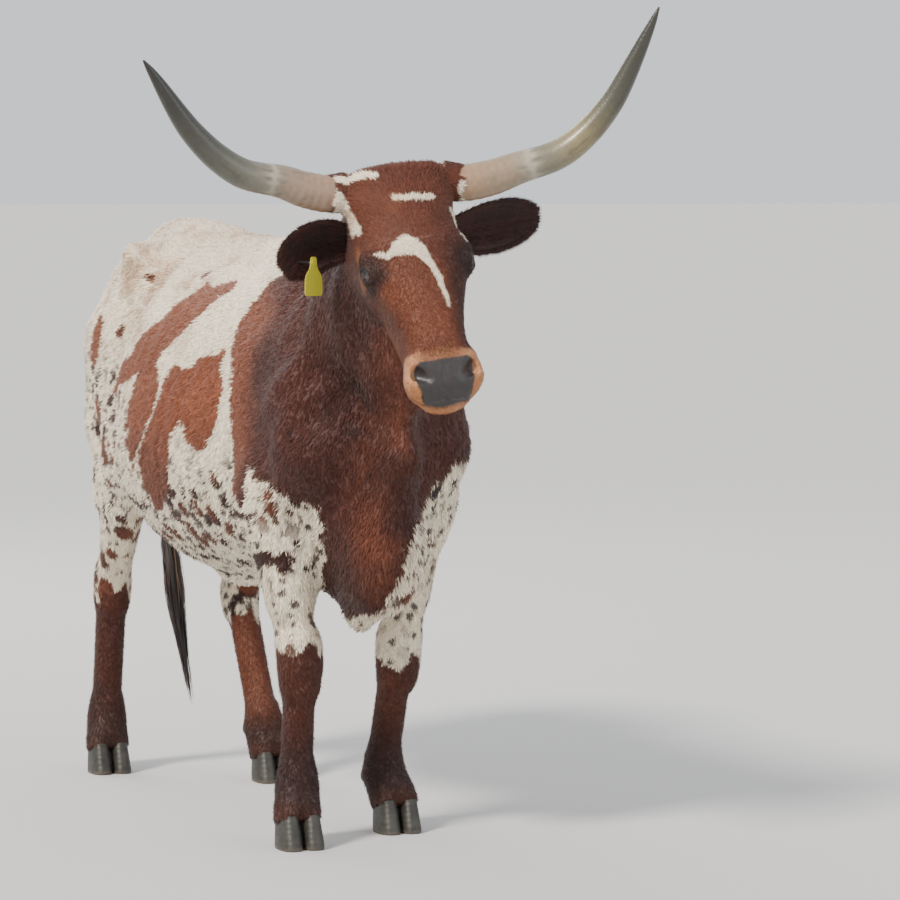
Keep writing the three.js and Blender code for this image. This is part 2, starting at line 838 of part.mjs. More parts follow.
// Parts a piece at a plane: the root stays with the base, and the rest is a node of its own.
function partAt(base, piece, cut, width, keepBase = true) {
  const root = piece.subtract(farSide(cut, -gap / 2, 1500, 1500));
  const trimmed = keepBase ? base : base.subtract(farSide(cut, -gap / 2, width, width, width));
  return {
    base: trimmed.add(root),
    rest: largest(piece.subtract(nearSide(cut, gap / 2, 1500, 1500))),
  };
}

// Ears: a leaf with a cupped front, rolled into a tube at its root
// Rows of [share of the length, half width, cup depth, thickness]
const earSection = through([
  [0, 27, 22, 16],
  [16, 36, 27, 12],
  [34, 49, 27, 8],
  [55, 55, 22, 6],
  [76, 49, 14, 5],
  [92, 31, 6, 4],
  [100, 11, 2, 3],
]);
const earFace = at(0, -0.93, -0.36).normalize();
const earCurve = (side) =>
  new THREE.CatmullRomCurve3(
    [0, 0.18, 0.48, 0.76, 1].map((t) => {
      const spread = side > 0 ? earLength + 30 : earLength - 30;
      const sweep = side > 0 ? 26 * t : -40 * t;
      const droop = side > 0 ? 12 * t : 28 * Math.sin(2.6 * t) - 44 * t * t;
      return at((84 + t * spread) * side, 46 + sweep, -142 + droop).applyMatrix4(levelFrame);
    }),
  );

function earLoft(side) {
  const curve = earCurve(side);
  const front = earFace.clone().transformDirection(levelFrame);
  const count = 13;
  const across = 7;
  return solid(
    loft(
      Array.from({ length: count }, (_, i) => {
        const t = i / (count - 1);
        const [halfWidth, cup, thick] = earSection(100 * t);
        const centre = curve.getPointAt(t);
        const along = curve.getTangentAt(t);
        const wide = front.clone().cross(along).normalize().multiplyScalar(side);
        const face = along.clone().cross(wide).normalize().multiplyScalar(side);
        const leaf = (u, lift) =>
          centre
            .clone()
            .addScaledVector(wide, u * halfWidth)
            .addScaledVector(face, cup * (u * u - 0.5) + lift * (1 - u ** 4));
        const us = Array.from({ length: across }, (_, k) => -1 + (2 * k) / (across - 1));
        const outside = us.map((u) => leaf(u, -thick / 2));
        const inside = us.slice(1, -1).reverse().map((u) => leaf(u, thick / 2));
        const loop = [...outside, ...inside];
        return side > 0 ? loop : loop.reverse();
      }),
    ),
  );
}

// Horns: out level from the boss, then up, forward and out to the tips. The left one
// sags and the right one bows up.
const hornRoot = 130;
const hornSag = { right: -10, left: 30 };
// Rows of [share of the reach, forward, share of the rise]
const hornRows = [
  [-0.065, -4, -0.065],
  [0.045, 3, -0.077],
  [0.18, 7, -0.036],
  [0.3, 14, 0.024],
  [0.495, 30, 0.095],
  [0.636, 46, 0.22],
  [0.75, 66, 0.378],
  [0.83, 84, 0.53],
  [0.94, 112, 0.78],
  [1, 128, 0.91],
];
const hornRadius = (t) => {
  const [radius] = through([
    [0, hornBaseRadius],
    [15, hornBaseRadius - 1],
    [30, 35],
    [50, 31],
    [70, 25],
    [85, 17],
    [95, 9],
    [100, 2.5],
  ])(100 * t);
  return radius;
};

for (const side of [-1, 1]) {
  const name = side < 0 ? "right" : "left";
  const spine = new THREE.CatmullRomCurve3(
    hornRows.map(([out, forward, up], i) => {
      const sag = hornSag[name] * Math.sin((Math.PI * i) / (hornRows.length - 1));
      const x = side * (hornRoot + hornReach[name] * out);
      return at(x, -forward, hornRise[name] * up - sag).applyMatrix4(levelFrame);
    }),
  );
  const boss = { point: spine.getPointAt(0.045), normal: spine.getTangentAt(0.045) };
  const horn = partAt(head, solid(rod(spine, 12, 21, hornRadius)), boss, 130, false);
  add("horn_" + name, horn.rest, colours.horn, 0.4);

  const curve = earCurve(side);
  const root = { point: curve.getPointAt(0.24), normal: curve.getTangentAt(0.24) };
  const ear = partAt(horn.base, earLoft(side), root, 90, false);
  head = ear.base;
  if (side > 0) {
    add("ear_left", ear.rest, colours.dark);
    continue;
  }

  // The tag hangs by its stem, which passes through the right ear near its lower edge
  const holeShare = 0.75;
  const [halfWidth] = earSection(100 * holeShare);
  const hole = curve.getPointAt(holeShare).add(at(0, 0, -0.35 * halfWidth));
  const tagReach = 40;
  const tagSide = tagWidth / 2;
  const facing = new THREE.Matrix4().makeRotationZ(degToRad(24)).setPosition(hole);
  const plate = new THREE.Shape();
  plate.moveTo(-10, 12);
  plate.lineTo(10, 12);
  plate.lineTo(12, -14);
  plate.lineTo(tagSide, -22);
  plate.lineTo(tagSide, -72);
  plate.lineTo(-tagSide, -72);
  plate.lineTo(-tagSide, -22);
  plate.lineTo(-12, -14);
  const body = new THREE.ExtrudeGeometry(plate, { depth: 2.4, bevelEnabled: false });
  body.rotateX(Math.PI / 2).translate(0, -tagReach, 0);
  const disc = (radius, from, to) =>
    new THREE.CylinderGeometry(radius, radius, to - from, 16).translate(0, (from + to) / 2, 0);
  const tag = solid(body.applyMatrix4(facing))
    .add(solid(disc(3, -tagReach - 2, 32).applyMatrix4(facing)))
    .add(solid(disc(13, 30, 32.4).applyMatrix4(facing)));
  const sleeve = solid(disc(3 + gap, -60, 60).applyMatrix4(facing));
  add("ear_right", ear.rest.subtract(sleeve), colours.dark);
  add("ear_tag", tag, colours.tag, 0.5);
}

head = head.subtract(nearSide(cuts.neckTop, gap / 2, 1200, 1200));
add("head", largest(head), colours.red);

for (const side of [-1, 1]) {
  const eye = ball(eyeRadius, eyePlace(side)).applyMatrix4(headFrame);
  add(side < 0 ? "eye_right" : "eye_left", eye, colours.eye, 0.1);
}

// Legs: lofts on the flesh, parted below the knee or hock, down to the coronet
const coronetSlope = at(0, -0.3, -1).normalize();
const clawLength = 100;
const clawWidth = 52;

// One claw: straight along the cleft, round outside, and wider towards its sole
function claw(foot, way) {
  const levels = [
    { height: 1, size: 0.8, forward: -4 },
    { height: 0.5, size: 0.92, forward: 4 },
    { height: 0.1, size: 1, forward: 11 },
    { height: 0, size: 0.97, forward: 11 },
  ];
  const sides = 14;
  return levels.map(({ height, size, forward }) =>
    Array.from({ length: sides }, (_, s) => {
      const angle = (2 * Math.PI * s) / sides;
      const [c, n] = [Math.cos(angle), Math.sin(angle)];
      const round = 2 / 2.5;
      const u = (clawWidth / 2) * (1 + size * Math.sign(c) * Math.abs(c) ** round);
      const v = (clawLength / 2) * size * Math.sign(n) * Math.abs(n) ** round;
      const y = foot.y - forward + v * way;
      const top = coronetHeight - 6 - 0.3 * (y - foot.y);
      return at(foot.x + way * Math.max(u, 2.6), y, height * top - (height === 1 ? gap : 0));
    }),
  );
}

for (const [name, leg] of Object.entries(legs)) {
  const { side, foot, top, middle, fetlock } = leg;
  const fore = name.startsWith("fore");
  const spine = new THREE.CatmullRomCurve3([
    fore ? between(top, top, 0, 0, 20, 30) : between(top, top, 0, -20 * side, 70, 70),
    fore ? between(top, middle, 0.3, 0, 4) : between(top, middle, 0.35, 0, 50),
    between(middle, middle, 0, 0, fore ? 2 : 14),
    between(middle, fetlock, 0.4, 0, 6),
    between(fetlock, fetlock, 0, 0, 4),
    at(foot.x, foot.y + 6, 52),
  ]);
  const shares = fore
    ? [0, 0.07, 0.14, 0.22, 0.31, 0.4, 0.45, 0.5, 0.55, 0.63, 0.72, 0.79, 0.84, 0.89, 0.94, 1]
    : [0, 0.06, 0.12, 0.19, 0.27, 0.35, 0.43, 0.48, 0.52, 0.57, 0.65, 0.74, 0.81, 0.85, 0.9, 0.95, 1];
  const outerSide = (p) => Math.max(flesh(p), legInside + 12 - p.x * side);
  const skin = solid(
    loft(
      shares.map((t) => {
        const most = t < 0.3 ? 190 : 90;
        return ringOn(outerSide, spine.getPointAt(t), spine.getTangentAt(t), 14, most);
      }),
    ),
  );
  const coronet = { point: at(foot.x, foot.y, coronetHeight - 6), normal: coronetSlope };
  const knee = {
    point: between(middle, fetlock, 0.28),
    normal: fetlock.clone().sub(middle).normalize(),
  };
  const whole = skin
    .subtract(nearSide(cuts[name], gap / 2, 1500, 1500))
    .subtract(farSide(coronet, -gap / 2, 400, 400));
  add(name + "_upper", largest(whole.subtract(farSide(knee, -gap / 2, 600, 600))), colours.coat);
  let shank = largest(whole.subtract(nearSide(knee, gap / 2, 600, 600)));
  for (const way of [-1, 1]) {
    const outer = way === side ? "outer" : "inner";
    const dew = new THREE.CatmullRomCurve3([
      between(fetlock, fetlock, 0, 20 * way, 14, -8),
      between(fetlock, fetlock, 0, 25 * way, 44, -22),
      between(fetlock, fetlock, 0, 25 * way, 62, -44),
    ]);
    const dewRadius = (t) => lerp(15, 7, t ** 2);
    const root = { point: dew.getPointAt(0.62), normal: dew.getTangentAt(0.62) };
    const room = solid(rod(dew, 6, 5, (t) => dewRadius(t) + gap));
    shank = shank.subtract(room.subtract(nearSide(root, -gap / 2, 200, 200)));
    const claws = partAt(shank, solid(rod(dew, 6, 5, dewRadius)), root, 60);
    shank = claws.base;
    add(`${name}_dewclaw_${outer}`, claws.rest, colours.hoof, 0.6);
    add(`${name}_claw_${outer}`, loft(claw(foot, way).reverse()), colours.hoof, 0.5);
  }
  add(name + "_lower", largest(shank), colours.dark);
}

// Tail, whose end carries the switch
const switchPath = new THREE.CatmullRomCurve3([
  tailPath.getPointAt(0.9),
  at(32, 1390, 540),
  at(44, 1384, 400),
  at(66, 1382, 250),
  at(88, 1384, 120),
]);
const switchRoot = { point: tailPath.getPointAt(0.92), normal: tailPath.getTangentAt(0.92) };
const tailRest = tail
  .subtract(nearSide(cuts.tailRoot, gap / 2, 300, 300, 400))
  .subtract(farSide(switchRoot, -gap / 2, 300, 300));
add("tail", largest(tailRest), colours.coat);

// Switch: locks of long hair that overlap round a core, which ends half way to their tips
const lockCount = 12;
const lockTurn = 2.4;
// Rows of [share of the switch, the core's radius]
const switchCore = through([
  [0, 14],
  [20, 24],
  [38, 22],
  [50, 5],
]);
// Rows of [share of the switch, how far its locks stand out]
const switchSpread = through([
  [0, 12],
  [20, 30],
  [45, 34],
  [70, 24],
  [100, 12],
]);
// Rows of [share of a lock, half width, half thickness]
const lockSection = through([
  [0, 8, 4],
  [22, 15, 5],
  [50, 14, 4],
  [78, 8, 3],
  [100, 1, 0.6],
]);

// Repeatable draws between two numbers
let drawn = 7;
function draw(low, high) {
  drawn = (drawn * 16807) % 2147483647;
  return lerp(low, high, drawn / 2147483647);
}

function lock(index) {
  const layer = index / (lockCount - 1);
  const start = lerp(0.06, 0.4, layer);
  const end = Math.min(start + draw(0.46, 0.6), 1);
  const turn = index * lockTurn + draw(-0.2, 0.2);
  const twist = draw(-0.7, 0.7);
  const spread = draw(0.75, 1.05);
  return solid(
    loft(
      [0, 0.22, 0.5, 0.78, 1].map((share) => {
        const t = lerp(start, end, share);
        const way = switchPath.getTangentAt(t);
        const { wide, deep } = squareTo(way);
        const angle = turn + twist * share;
        const out = wide.multiplyScalar(Math.cos(angle)).addScaledVector(deep, Math.sin(angle));
        const flat = out.clone().cross(way);
        const reach = share === 0 ? 5 : switchSpread(100 * t)[0] * spread;
        const middle = switchPath.getPointAt(t).addScaledVector(out, reach);
        const [width, thickness] = lockSection(100 * share);
        return [0, 1, 2, 3].map((corner) => {
          const [u, v] = [[width, 0], [0, thickness], [-width, 0], [0, -thickness]][corner];
          return middle.clone().addScaledVector(flat, u).addScaledVector(out, v);
        });
      }),
    ),
  );
}

let hair = solid(
  loft(
    [0, 0.1, 0.2, 0.3, 0.4, 0.5].map((t) => {
      const reach = switchCore(100 * t)[0];
      return ring(switchPath.getPointAt(t), switchPath.getTangentAt(t), 10, () => reach);
    }),
  ),
);
for (let index = 0; index < lockCount; index++) hair = hair.add(lock(index));
hair = largest(hair.subtract(nearSide(switchRoot, gap / 2, 300, 300)));
add("tail_switch", hair, colours.coat);

export default part;
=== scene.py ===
"""A Texas longhorn steer, standing, with its coat as solid mesh tufts over one skin."""

import math

import bmesh
import bpy
import numpy as np
from mathutils import Matrix, Vector


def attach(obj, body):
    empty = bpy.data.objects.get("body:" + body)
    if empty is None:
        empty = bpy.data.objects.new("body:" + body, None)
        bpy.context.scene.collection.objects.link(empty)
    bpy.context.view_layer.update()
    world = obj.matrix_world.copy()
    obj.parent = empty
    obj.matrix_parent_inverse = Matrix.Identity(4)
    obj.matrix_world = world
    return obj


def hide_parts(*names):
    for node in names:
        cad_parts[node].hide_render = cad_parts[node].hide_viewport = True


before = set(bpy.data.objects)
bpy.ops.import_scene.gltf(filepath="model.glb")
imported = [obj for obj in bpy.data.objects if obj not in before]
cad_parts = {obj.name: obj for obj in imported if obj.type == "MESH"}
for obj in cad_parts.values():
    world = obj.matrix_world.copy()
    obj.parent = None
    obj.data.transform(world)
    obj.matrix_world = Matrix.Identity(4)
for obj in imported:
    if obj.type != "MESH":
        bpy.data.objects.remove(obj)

bl_info = {
    "name": "Longhorn Steer",
    "version": (1, 0, 0),
    "blender": (4, 5, 0),
    "location": "View3D > Sidebar > Longhorn",
    "description": "Builds a Texas longhorn steer with skin, coat, horns, hooves, eyes and tag",
    "category": "Add Mesh",
}

MM = 0.001
LEFT = np.array([1.0, 0.0, 0.0])
BACK = np.array([0.0, 1.0, 0.0])
UP = np.array([0.0, 0.0, 1.0])


def at(x, y, z):
    """A place or size given in millimetres, in metres."""
    return np.array([x, y, z], float) * MM


# Driving dimensions, in millimetres, as the solids have them

HIP_HEIGHT = 1400
WITHERS_HEIGHT = 1385
CHEST_HALF_WIDTH = 225
BELLY_HALF_WIDTH = 322
BELLY_HEIGHT = 556
BRISKET_HEIGHT = 478
HORN_REACH = {-1: 402, 1: 466}
HORN_RISE = {-1: 336, 1: 319}
HORN_SAG = {-1: -10, 1: 30}
HORN_ROOT = 130
HORN_BASE_RADIUS = 41
EYE_RADIUS = 21
EAR_LENGTH = 208
TAG_WIDTH = 52
KNEE_HALF_WIDTH = 51
CANNON_HALF_WIDTH = 37
CORONET_HEIGHT = 72
CLAW_LENGTH = 100
CLAW_WIDTH = 52

# Where each hoof stands, from the middle between the forefeet
STANCE = {
    "fore_right": (-146, -22),
    "fore_left": (146, 118),
    "hind_right": (-168, 1310),
    "hind_left": (166, 1005),
}

# The frame's origin, from the middle between the forefeet
ORIGIN = at(-86, 381, 0)

HEAD_PLACE = at(-62, -400, 1512)
HEAD_PITCH = math.radians(27)
HEAD_YAW = math.radians(-9)
HEAD_ROLL = math.radians(7)


# Numbers and noise


def lerp(a, b, t):
    """The way from a to b, by the share t."""
    return a + (b - a) * t


def unit(v):
    """Vectors of length one, along the last axis."""
    return v / np.maximum(np.linalg.norm(v, axis=-1, keepdims=True), 1e-9)


def smoothstep(low, high, x):
    """Zero at low, one at high, and smooth between."""
    t = np.clip((x - low) / (high - low), 0.0, 1.0)
    return t * t * (3.0 - 2.0 * t)


def bell(x, middle, width):
    """One at the middle, falling off smoothly to both sides."""
    return np.exp(-(((x - middle) / width) ** 2))


def through(rows):
    """A smooth curve through rows of [station, value, value, ...], flat beyond its ends."""
    rows = np.array(rows, float)
    stations = rows[:, 0]
    values = rows[:, 1:]
    last = len(rows) - 1
    before = np.maximum(np.arange(last + 1) - 1, 0)
    after = np.minimum(np.arange(last + 1) + 1, last)
    reach = np.maximum(stations[after] - stations[before], 1.0)
    slopes = (values[after] - values[before]) / reach[:, None]

    def curve(station):
        s = np.clip(station, stations[0], stations[-1])
        i = np.clip(np.searchsorted(stations, s, side="right") - 1, 0, last - 1)
        span = stations[i + 1] - stations[i]
        t = ((s - stations[i]) / span)[..., None]
        rise = values[i + 1] - values[i]
        start = slopes[i] * span[..., None]
        end = slopes[i + 1] * span[..., None]
        return values[i] + t * (start + t * (3 * rise - 2 * start - end)) + t**3 * (start + end - 2 * rise)

    return curve


# Large numbers that scatter the cells of the noise, and the shifts that stir them
CELL_STEPS = (73856093, 19349663, 83492791)
SEED_STEP = 2654435761
STIRS = ((13, 1274126177), (16, 2246822519))
LARGEST = 0xFFFFFF


def lattice(cells, seed):
    """A number from 0 to 1 for each whole-numbered cell, the same at every run."""
    h = np.uint64(seed * SEED_STEP % 2**32)
    for i, step in enumerate(CELL_STEPS):
        h = h ^ cells[..., i].astype(np.int64).astype(np.uint64) * np.uint64(step)
    for shift, step in STIRS:
        h = (h ^ (h >> np.uint64(shift))) * np.uint64(step)
    return ((h >> np.uint64(8)) & np.uint64(LARGEST)).astype(np.float64) / float(LARGEST)


def noise(points, size, seed):
    """Smooth noise from -1 to 1 with features of the given size in metres."""
    p = points / size
    cell = np.floor(p)
    f = p - cell
    f = f * f * (3.0 - 2.0 * f)
    total = 0.0
    for corner in range(8):
        offset = np.array([corner & 1, (corner >> 1) & 1, corner >> 2], float)
        weight = np.prod(np.where(offset > 0, f, 1.0 - f), axis=-1)
        total = total + weight * lattice(cell + offset, seed)
    return 2.0 * total - 1.0


def speckle(points, size, seed, share, least=0.12, most=0.42):
    """How deep a point lies in the nearest of some scattered round spots, in metres."""
    p = points / size
    cell = np.floor(p)
    best = np.full(p.shape[:-1], -1.0)
    for dx in (-1, 0, 1):
        for dy in (-1, 0, 1):
            for dz in (-1, 0, 1):
                c = cell + np.array([dx, dy, dz], float)
                jitter = np.stack([lattice(c, seed + k) for k in range(3)], -1)
                distance = np.linalg.norm(p - c - 0.2 - 0.6 * jitter, axis=-1)
                radius = least + (most - least) * lattice(c, seed + 3)
                there = lattice(c, seed + 4) < share
                best = np.maximum(best, np.where(there, radius - distance, -1.0))
    return best * size


# Fields: each gives a point's distance from a surface, below zero inside

# Nearer to a form's axis than this share of its radius, the depth is taken as even
CORE = 0.05


def trunk(rows, fullness):
    """A body along one axis, from rows of [station, half width, top, bottom, widest height]."""
    section = through(rows)
    first, last = rows[0][0] * MM, rows[-1][0] * MM

    def field(station, across, height):
        half, top, bottom, widest = np.moveaxis(section(station / MM) * MM, -1, 0)
        rise = height - widest
        upright = np.where(rise > 0, rise / (top - widest), rise / (widest - bottom))
        share = (np.abs(across / half) ** fullness + np.abs(upright) ** fullness) ** (1 / fullness)
        narrow = -np.minimum(half, np.minimum(top - widest, widest - bottom))
        safe = np.maximum(share, CORE)
        inside = np.where(share < CORE, narrow, np.hypot(across, rise) * (1 - 1 / safe))
        beyond = np.maximum(np.maximum(first - station, station - last), 0)
        return np.where(beyond > 0, np.hypot(np.maximum(inside, 0), beyond), inside)

    return field


def limb(start, end, start_size, end_size, across=LEFT):
    """A limb between two points, with an elliptical section of [half width, half depth]."""
    axis = end - start
    length = np.linalg.norm(axis)
    axis = axis / length
    deep = unit(np.cross(axis, across))
    wide = np.cross(deep, axis)
    frame_rows = np.stack([wide, deep, axis], 1)
    a0, b0, a1, b1 = (v * MM for v in (*start_size, *end_size))

    def field(points):
        d = (points - start) @ frame_rows
        along = d[..., 2]
        t = np.clip(along / length, 0.0, 1.0)
        a = lerp(a0, a1, t)
        b = lerp(b0, b1, t)
        end_radius = np.minimum(a, b)
        u = d[..., 0] / a
        v = d[..., 1] / b
        w = (along - t * length) / end_radius
        near = np.sqrt(u * u + v * v + w * w)
        slope = np.sqrt((u / a) ** 2 + (v / b) ** 2 + (w / end_radius) ** 2)
        return np.where(near < CORE, -end_radius, near * (near - 1) / np.maximum(slope, 1e-6))

    return field


def blend(a, b, width):
    """Two distances joined with a fillet of about the given width."""
    h = np.maximum(width - np.abs(a - b), 0.0) / width
    return np.minimum(a, b) - h * h * width / 4


def between(a, b, share, x=0, y=0, z=0):
    """A place on the way from a to b, moved aside by millimetres."""
    return lerp(a, b, share) + at(x, y, z)


def bent_joint(a, b, upper, lower, side):
    """The joint between two bones that reach from a to b, bent towards a side."""
    reach = b - a
    length = min(np.linalg.norm(reach), 0.998 * (upper + lower))
    reach = unit(reach)
    along = (upper**2 - lower**2 + length**2) / (2 * length)
    out = unit(side - reach * (side @ reach))
    return a + reach * along + out * math.sqrt(max(upper**2 - along**2, 0))


# Torso

BARREL = trunk(
    [
        [-250, 60, 1120, 800, 960],
        [-215, 118, 1190, 700, 960],
        [-130, 176, 1285, 650, 940],
        [-20, 205, 1350, 620, 920],
        [90, CHEST_HALF_WIDTH, WITHERS_HEIGHT, 600, 900],
        [250, 268, WITHERS_HEIGHT - 25, 600, 880],
        [430, 306, 1352, 575, 870],
        [620, BELLY_HALF_WIDTH, 1352, BELLY_HEIGHT, 860],
        [800, 306, 1372, BELLY_HEIGHT + 22, 880],
        [930, 268, HIP_HEIGHT - 8, 640, 940],
        [1060, 238, HIP_HEIGHT, 745, 1010],
        [1190, 196, HIP_HEIGHT - 8, 850, 1080],
        [1300, 138, 1368, 960, 1150],
        [1350, 70, 1320, 1080, 1200],
    ],
    2.05,
)


def torso_forms():
    """Spine, brisket, dewlap and sheath, then the bones and muscles of each side."""
    forms = [
        limb(at(0, 60, 1350), at(0, 620, 1318), [48, 32], [42, 32]),
        limb(at(0, 620, 1318), at(0, 1180, 1362), [42, 32], [50, 34]),
        limb(at(0, -190, 690), at(0, 40, 640), [88, 110], [82, 90]),
        limb(at(0, -150, 610), at(0, -30, BRISKET_HEIGHT + 52), [44, 70], [34, 52]),
        limb(at(-6, -262, 900), at(0, -165, 610), [40, 74], [52, 70]),
        limb(at(-14, -335, 1160), at(-6, -262, 900), [24, 60], [38, 74]),
        limb(at(0, 560, 572), at(0, 730, 560), [40, 34], [26, 22]),
        limb(at(0, 730, 575), at(0, 960, 700), [60, 30], [50, 30]),
    ]
    for s in (-1, 1):
        forms += [
            limb(at(195 * s, 930, 1310), at(232 * s, 905, 1322), [46, 46], [30, 34]),
            limb(at(95 * s, 1290, 1262), at(112 * s, 1352, 1222), [52, 52], [34, 36]),
            limb(at(80 * s, 70, 1300), at(144 * s, -70, 1010), [50, 92], [66, 100]),
            limb(at(144 * s, -70, 1010), at(138 * s, -140, 900), [68, 92], [68, 74]),
            limb(at(146 * s, -112, 890), at(170 * s, 40, 770), [70, 80], [62, 92]),
            limb(at(146 * s, 110, 1090), at(184 * s, 70, 780), [66, 108], [56, 90]),
            limb(at(150 * s, 960, 1230), at(176 * s, 1130, 1060), [96, 120], [92, 170]),
            limb(at(110 * s, 1290, 1180), at(158 * s, 1235, 900), [70, 84], [74, 96]),
        ]
    return forms


# Legs


def leg_joints(name):
    """Elbow or stifle, knee or hock, fetlock and foot of a leg."""
    x, y = STANCE[name]
    side = 1 if x > 0 else -1
    if name.startswith("fore"):
        top = at(172 * side, 48, 760)
        fetlock = at(x - 14 * side, y + 40, 150)
        middle = bent_joint(top, fetlock, 0.352, 0.266, np.array([-0.35 * side, -1, 0]))
    else:
        top = at(212 * side, 925 + 0.1 * (y - 1200), 822)
        fetlock = at(x - 10 * side, y + 38, 152)
        middle = bent_joint(top, fetlock, 0.466, 0.352, np.array([-0.14 * side, 1, 0.15]))
    return {"side": side, "foot": at(x, y, 0), "top": top, "middle": middle, "fetlock": fetlock}


LEGS = {name: leg_joints(name) for name in STANCE}


def shank_forms(leg, half):
    """From below the knee or hock to the two digits, alike on all four legs."""
    middle, fetlock, foot, side = leg["middle"], leg["fetlock"], leg["foot"], leg["side"]
    forms = [
        limb(middle, fetlock, [half, half + 3], [half - 2, half]),
        limb(
            between(middle, fetlock, 0.18, 0, half * 0.75),
            fetlock + at(0, 20, 26),
            [half * 0.6, 18],
            [half * 0.72, 22],
        ),
        limb(fetlock + at(0, -4, 14), fetlock + at(0, 4, -16), [40, 42], [40, 42]),
        limb(fetlock + at(2 * side, 0, -10), foot + at(0, 12, CORONET_HEIGHT + 22), [38, 38], [44, 43]),
    ]
    for way in (-1, 1):
        toe = foot + at(29 * way, 4, CORONET_HEIGHT - 10)
        forms.append(limb(fetlock + at(16 * way, 2, -22), toe, [25, 36], [27, 44]))
    return forms


def fore_forms(leg):
    """A front leg: forearm, knee with its bone behind, and shank."""
    top, middle = leg["top"], leg["middle"]
    return [
        limb(top + at(0, 8, 40), between(top, middle, 0.55), [68, 104], [54, 64]),
        limb(top, middle, [64, 84], [43, 46]),
        limb(
            middle + at(0, -3, 42), middle + at(0, -1, -44), [KNEE_HALF_WIDTH, 47], [KNEE_HALF_WIDTH - 4, 44]
        ),
        limb(middle + at(0, 34, 26), middle + at(0, 26, -20), [34, 26], [30, 24]),
        *shank_forms(leg, CANNON_HALF_WIDTH),
    ]


def hind_forms(leg):
    """A rear leg: thigh, stifle, gaskin, the hock with its tendon, and shank."""
    top, middle, s = leg["top"], leg["middle"], leg["side"]
    hock_point = middle + at(0, 46, 44)
    return [
        limb(at(150 * s, 1085, 1130), top + at(-10 * s, 30, 30), [104, 178], [80, 118]),
        limb(at(140 * s, 1265, 1090), between(top, middle, 0.5, 0, 60, 60), [84, 108], [58, 66]),
        limb(top + at(0, 8, 16), top + at(0, 24, -30), [70, 74], [60, 72]),
        limb(top + at(0, 50, -10), middle, [64, 96], [40, 46]),
        limb(between(top, middle, 0.3, 0, 92, 40), between(top, middle, 0.8, 0, 52, 36), [50, 64], [26, 34]),
        limb(between(top, middle, 0.62, 0, 82, 50), hock_point, [18, 26], [20, 22]),
        limb(hock_point, middle + at(0, 14, -30), [26, 28], [36, 40]),
        limb(middle + at(0, -4, 34), middle + at(0, 0, -52), [43, 46], [39, 43]),
        *shank_forms(leg, CANNON_HALF_WIDTH + 1),
    ]


# Head, in a frame of its own: the face upright, the poll at the origin, the nose down


def turn(axis, angle):
    """The matrix of a turn about an axis."""
    return np.array(Matrix.Rotation(angle, 3, Vector(axis)))


LEVEL = turn(UP, HEAD_YAW) @ turn(BACK, -HEAD_ROLL)
HEAD = LEVEL @ turn(LEFT, -HEAD_PITCH)


def to_head(p):
    """Body places in the head's own frame."""
    return (p - HEAD_PLACE) @ HEAD


def on_head(x, y, z):
    """A place given in the head's own frame in millimetres, as a body place."""
    return HEAD_PLACE + HEAD @ at(x, y, z)


def on_level(points):
    """Places in millimetres from the poll, level fore and aft, as body places."""
    return HEAD_PLACE + (np.asarray(points, float) * MM) @ LEVEL.T


def eye_place(s):
    """The middle of an eye, in the head's own frame."""
    return at(98 * s, -21, -239)


def eye_way(s):
    """The way an eye looks, in the head's own frame."""
    return unit(np.array([0.86 * s, -0.48, 0.08]))


SKULL = trunk(
    [
        [-14, 60, 22, -62, -20],
        [4, 104, 44, -88, -22],
        [44, 122, 60, -102, -20],
        [100, 112, 72, -112, -18],
        [160, 108, 80, -118, -10],
        [215, 114, 80, -128, -4],
        [275, 101, 76, -118, 0],
        [335, 82, 71, -84, 4],
        [395, 70, 66, -56, 8],
        [445, 73, 62, -48, 10],
        [490, 82, 58, -44, 8],
        [522, 76, 46, -34, 4],
        [542, 50, 24, -14, 2],
    ],
    2.5,
)


def head_forms():
    """Horn boss, brow, cheek, jaw and nostril wing of each side, then poll, nose, chin and lids."""
    forms = []
    for s in (-1, 1):
        forms += [
            limb(at(60 * s, 10, -34), at(132 * s, 12, -24), [50, 48], [39, 39], UP),
            limb(at(68 * s, -46, -180), at(106 * s, -27, -208), [30, 22], [22, 18], UP),
            limb(at(62 * s, 36, -226), at(70 * s, 66, -250), [46, 60], [38, 66]),
            limb(at(64 * s, 74, -236), at(44 * s, 26, -440), [26, 48], [22, 22]),
            limb(at(52 * s, -34, -462), at(60 * s, -26, -496), [26, 28], [26, 26]),
        ]
    forms += [
        limb(at(-76, 0, -14), at(76, 0, -14), [44, 28], [44, 28], BACK),
        limb(at(0, -52, -200), at(0, -48, -430), [54, 22], [46, 18]),
        limb(at(0, 20, -440), at(0, 20, -530), [50, 24], [54, 27]),
    ]
    lid = EYE_RADIUS + 6
    for s in (-1, 1):
        forms.append(limb(eye_place(s), eye_place(s) + eye_way(s) * 0.002, [lid, lid], [lid, lid]))
    return forms


def neck_forms():
    """Neck, crest and throat, and the muscle of each side."""
    forms = [
        limb(at(0, -10, 1120), at(-16, -215, 1222), [150, 262], [116, 196]),
        limb(at(-16, -215, 1222), on_head(0, 62, -128), [116, 196], [92, 126]),
        limb(at(0, 10, 1345), on_head(0, 44, -18), [52, 44], [62, 50]),
        limb(at(-12, -290, 1080), on_head(0, 84, -236), [60, 92], [52, 60]),
    ]
    for s in (1, -1):
        forms.append(limb(at(96 * s, -60, 1080), on_head(44 * s, 70, -130), [70, 104], [50, 60]))
    return forms


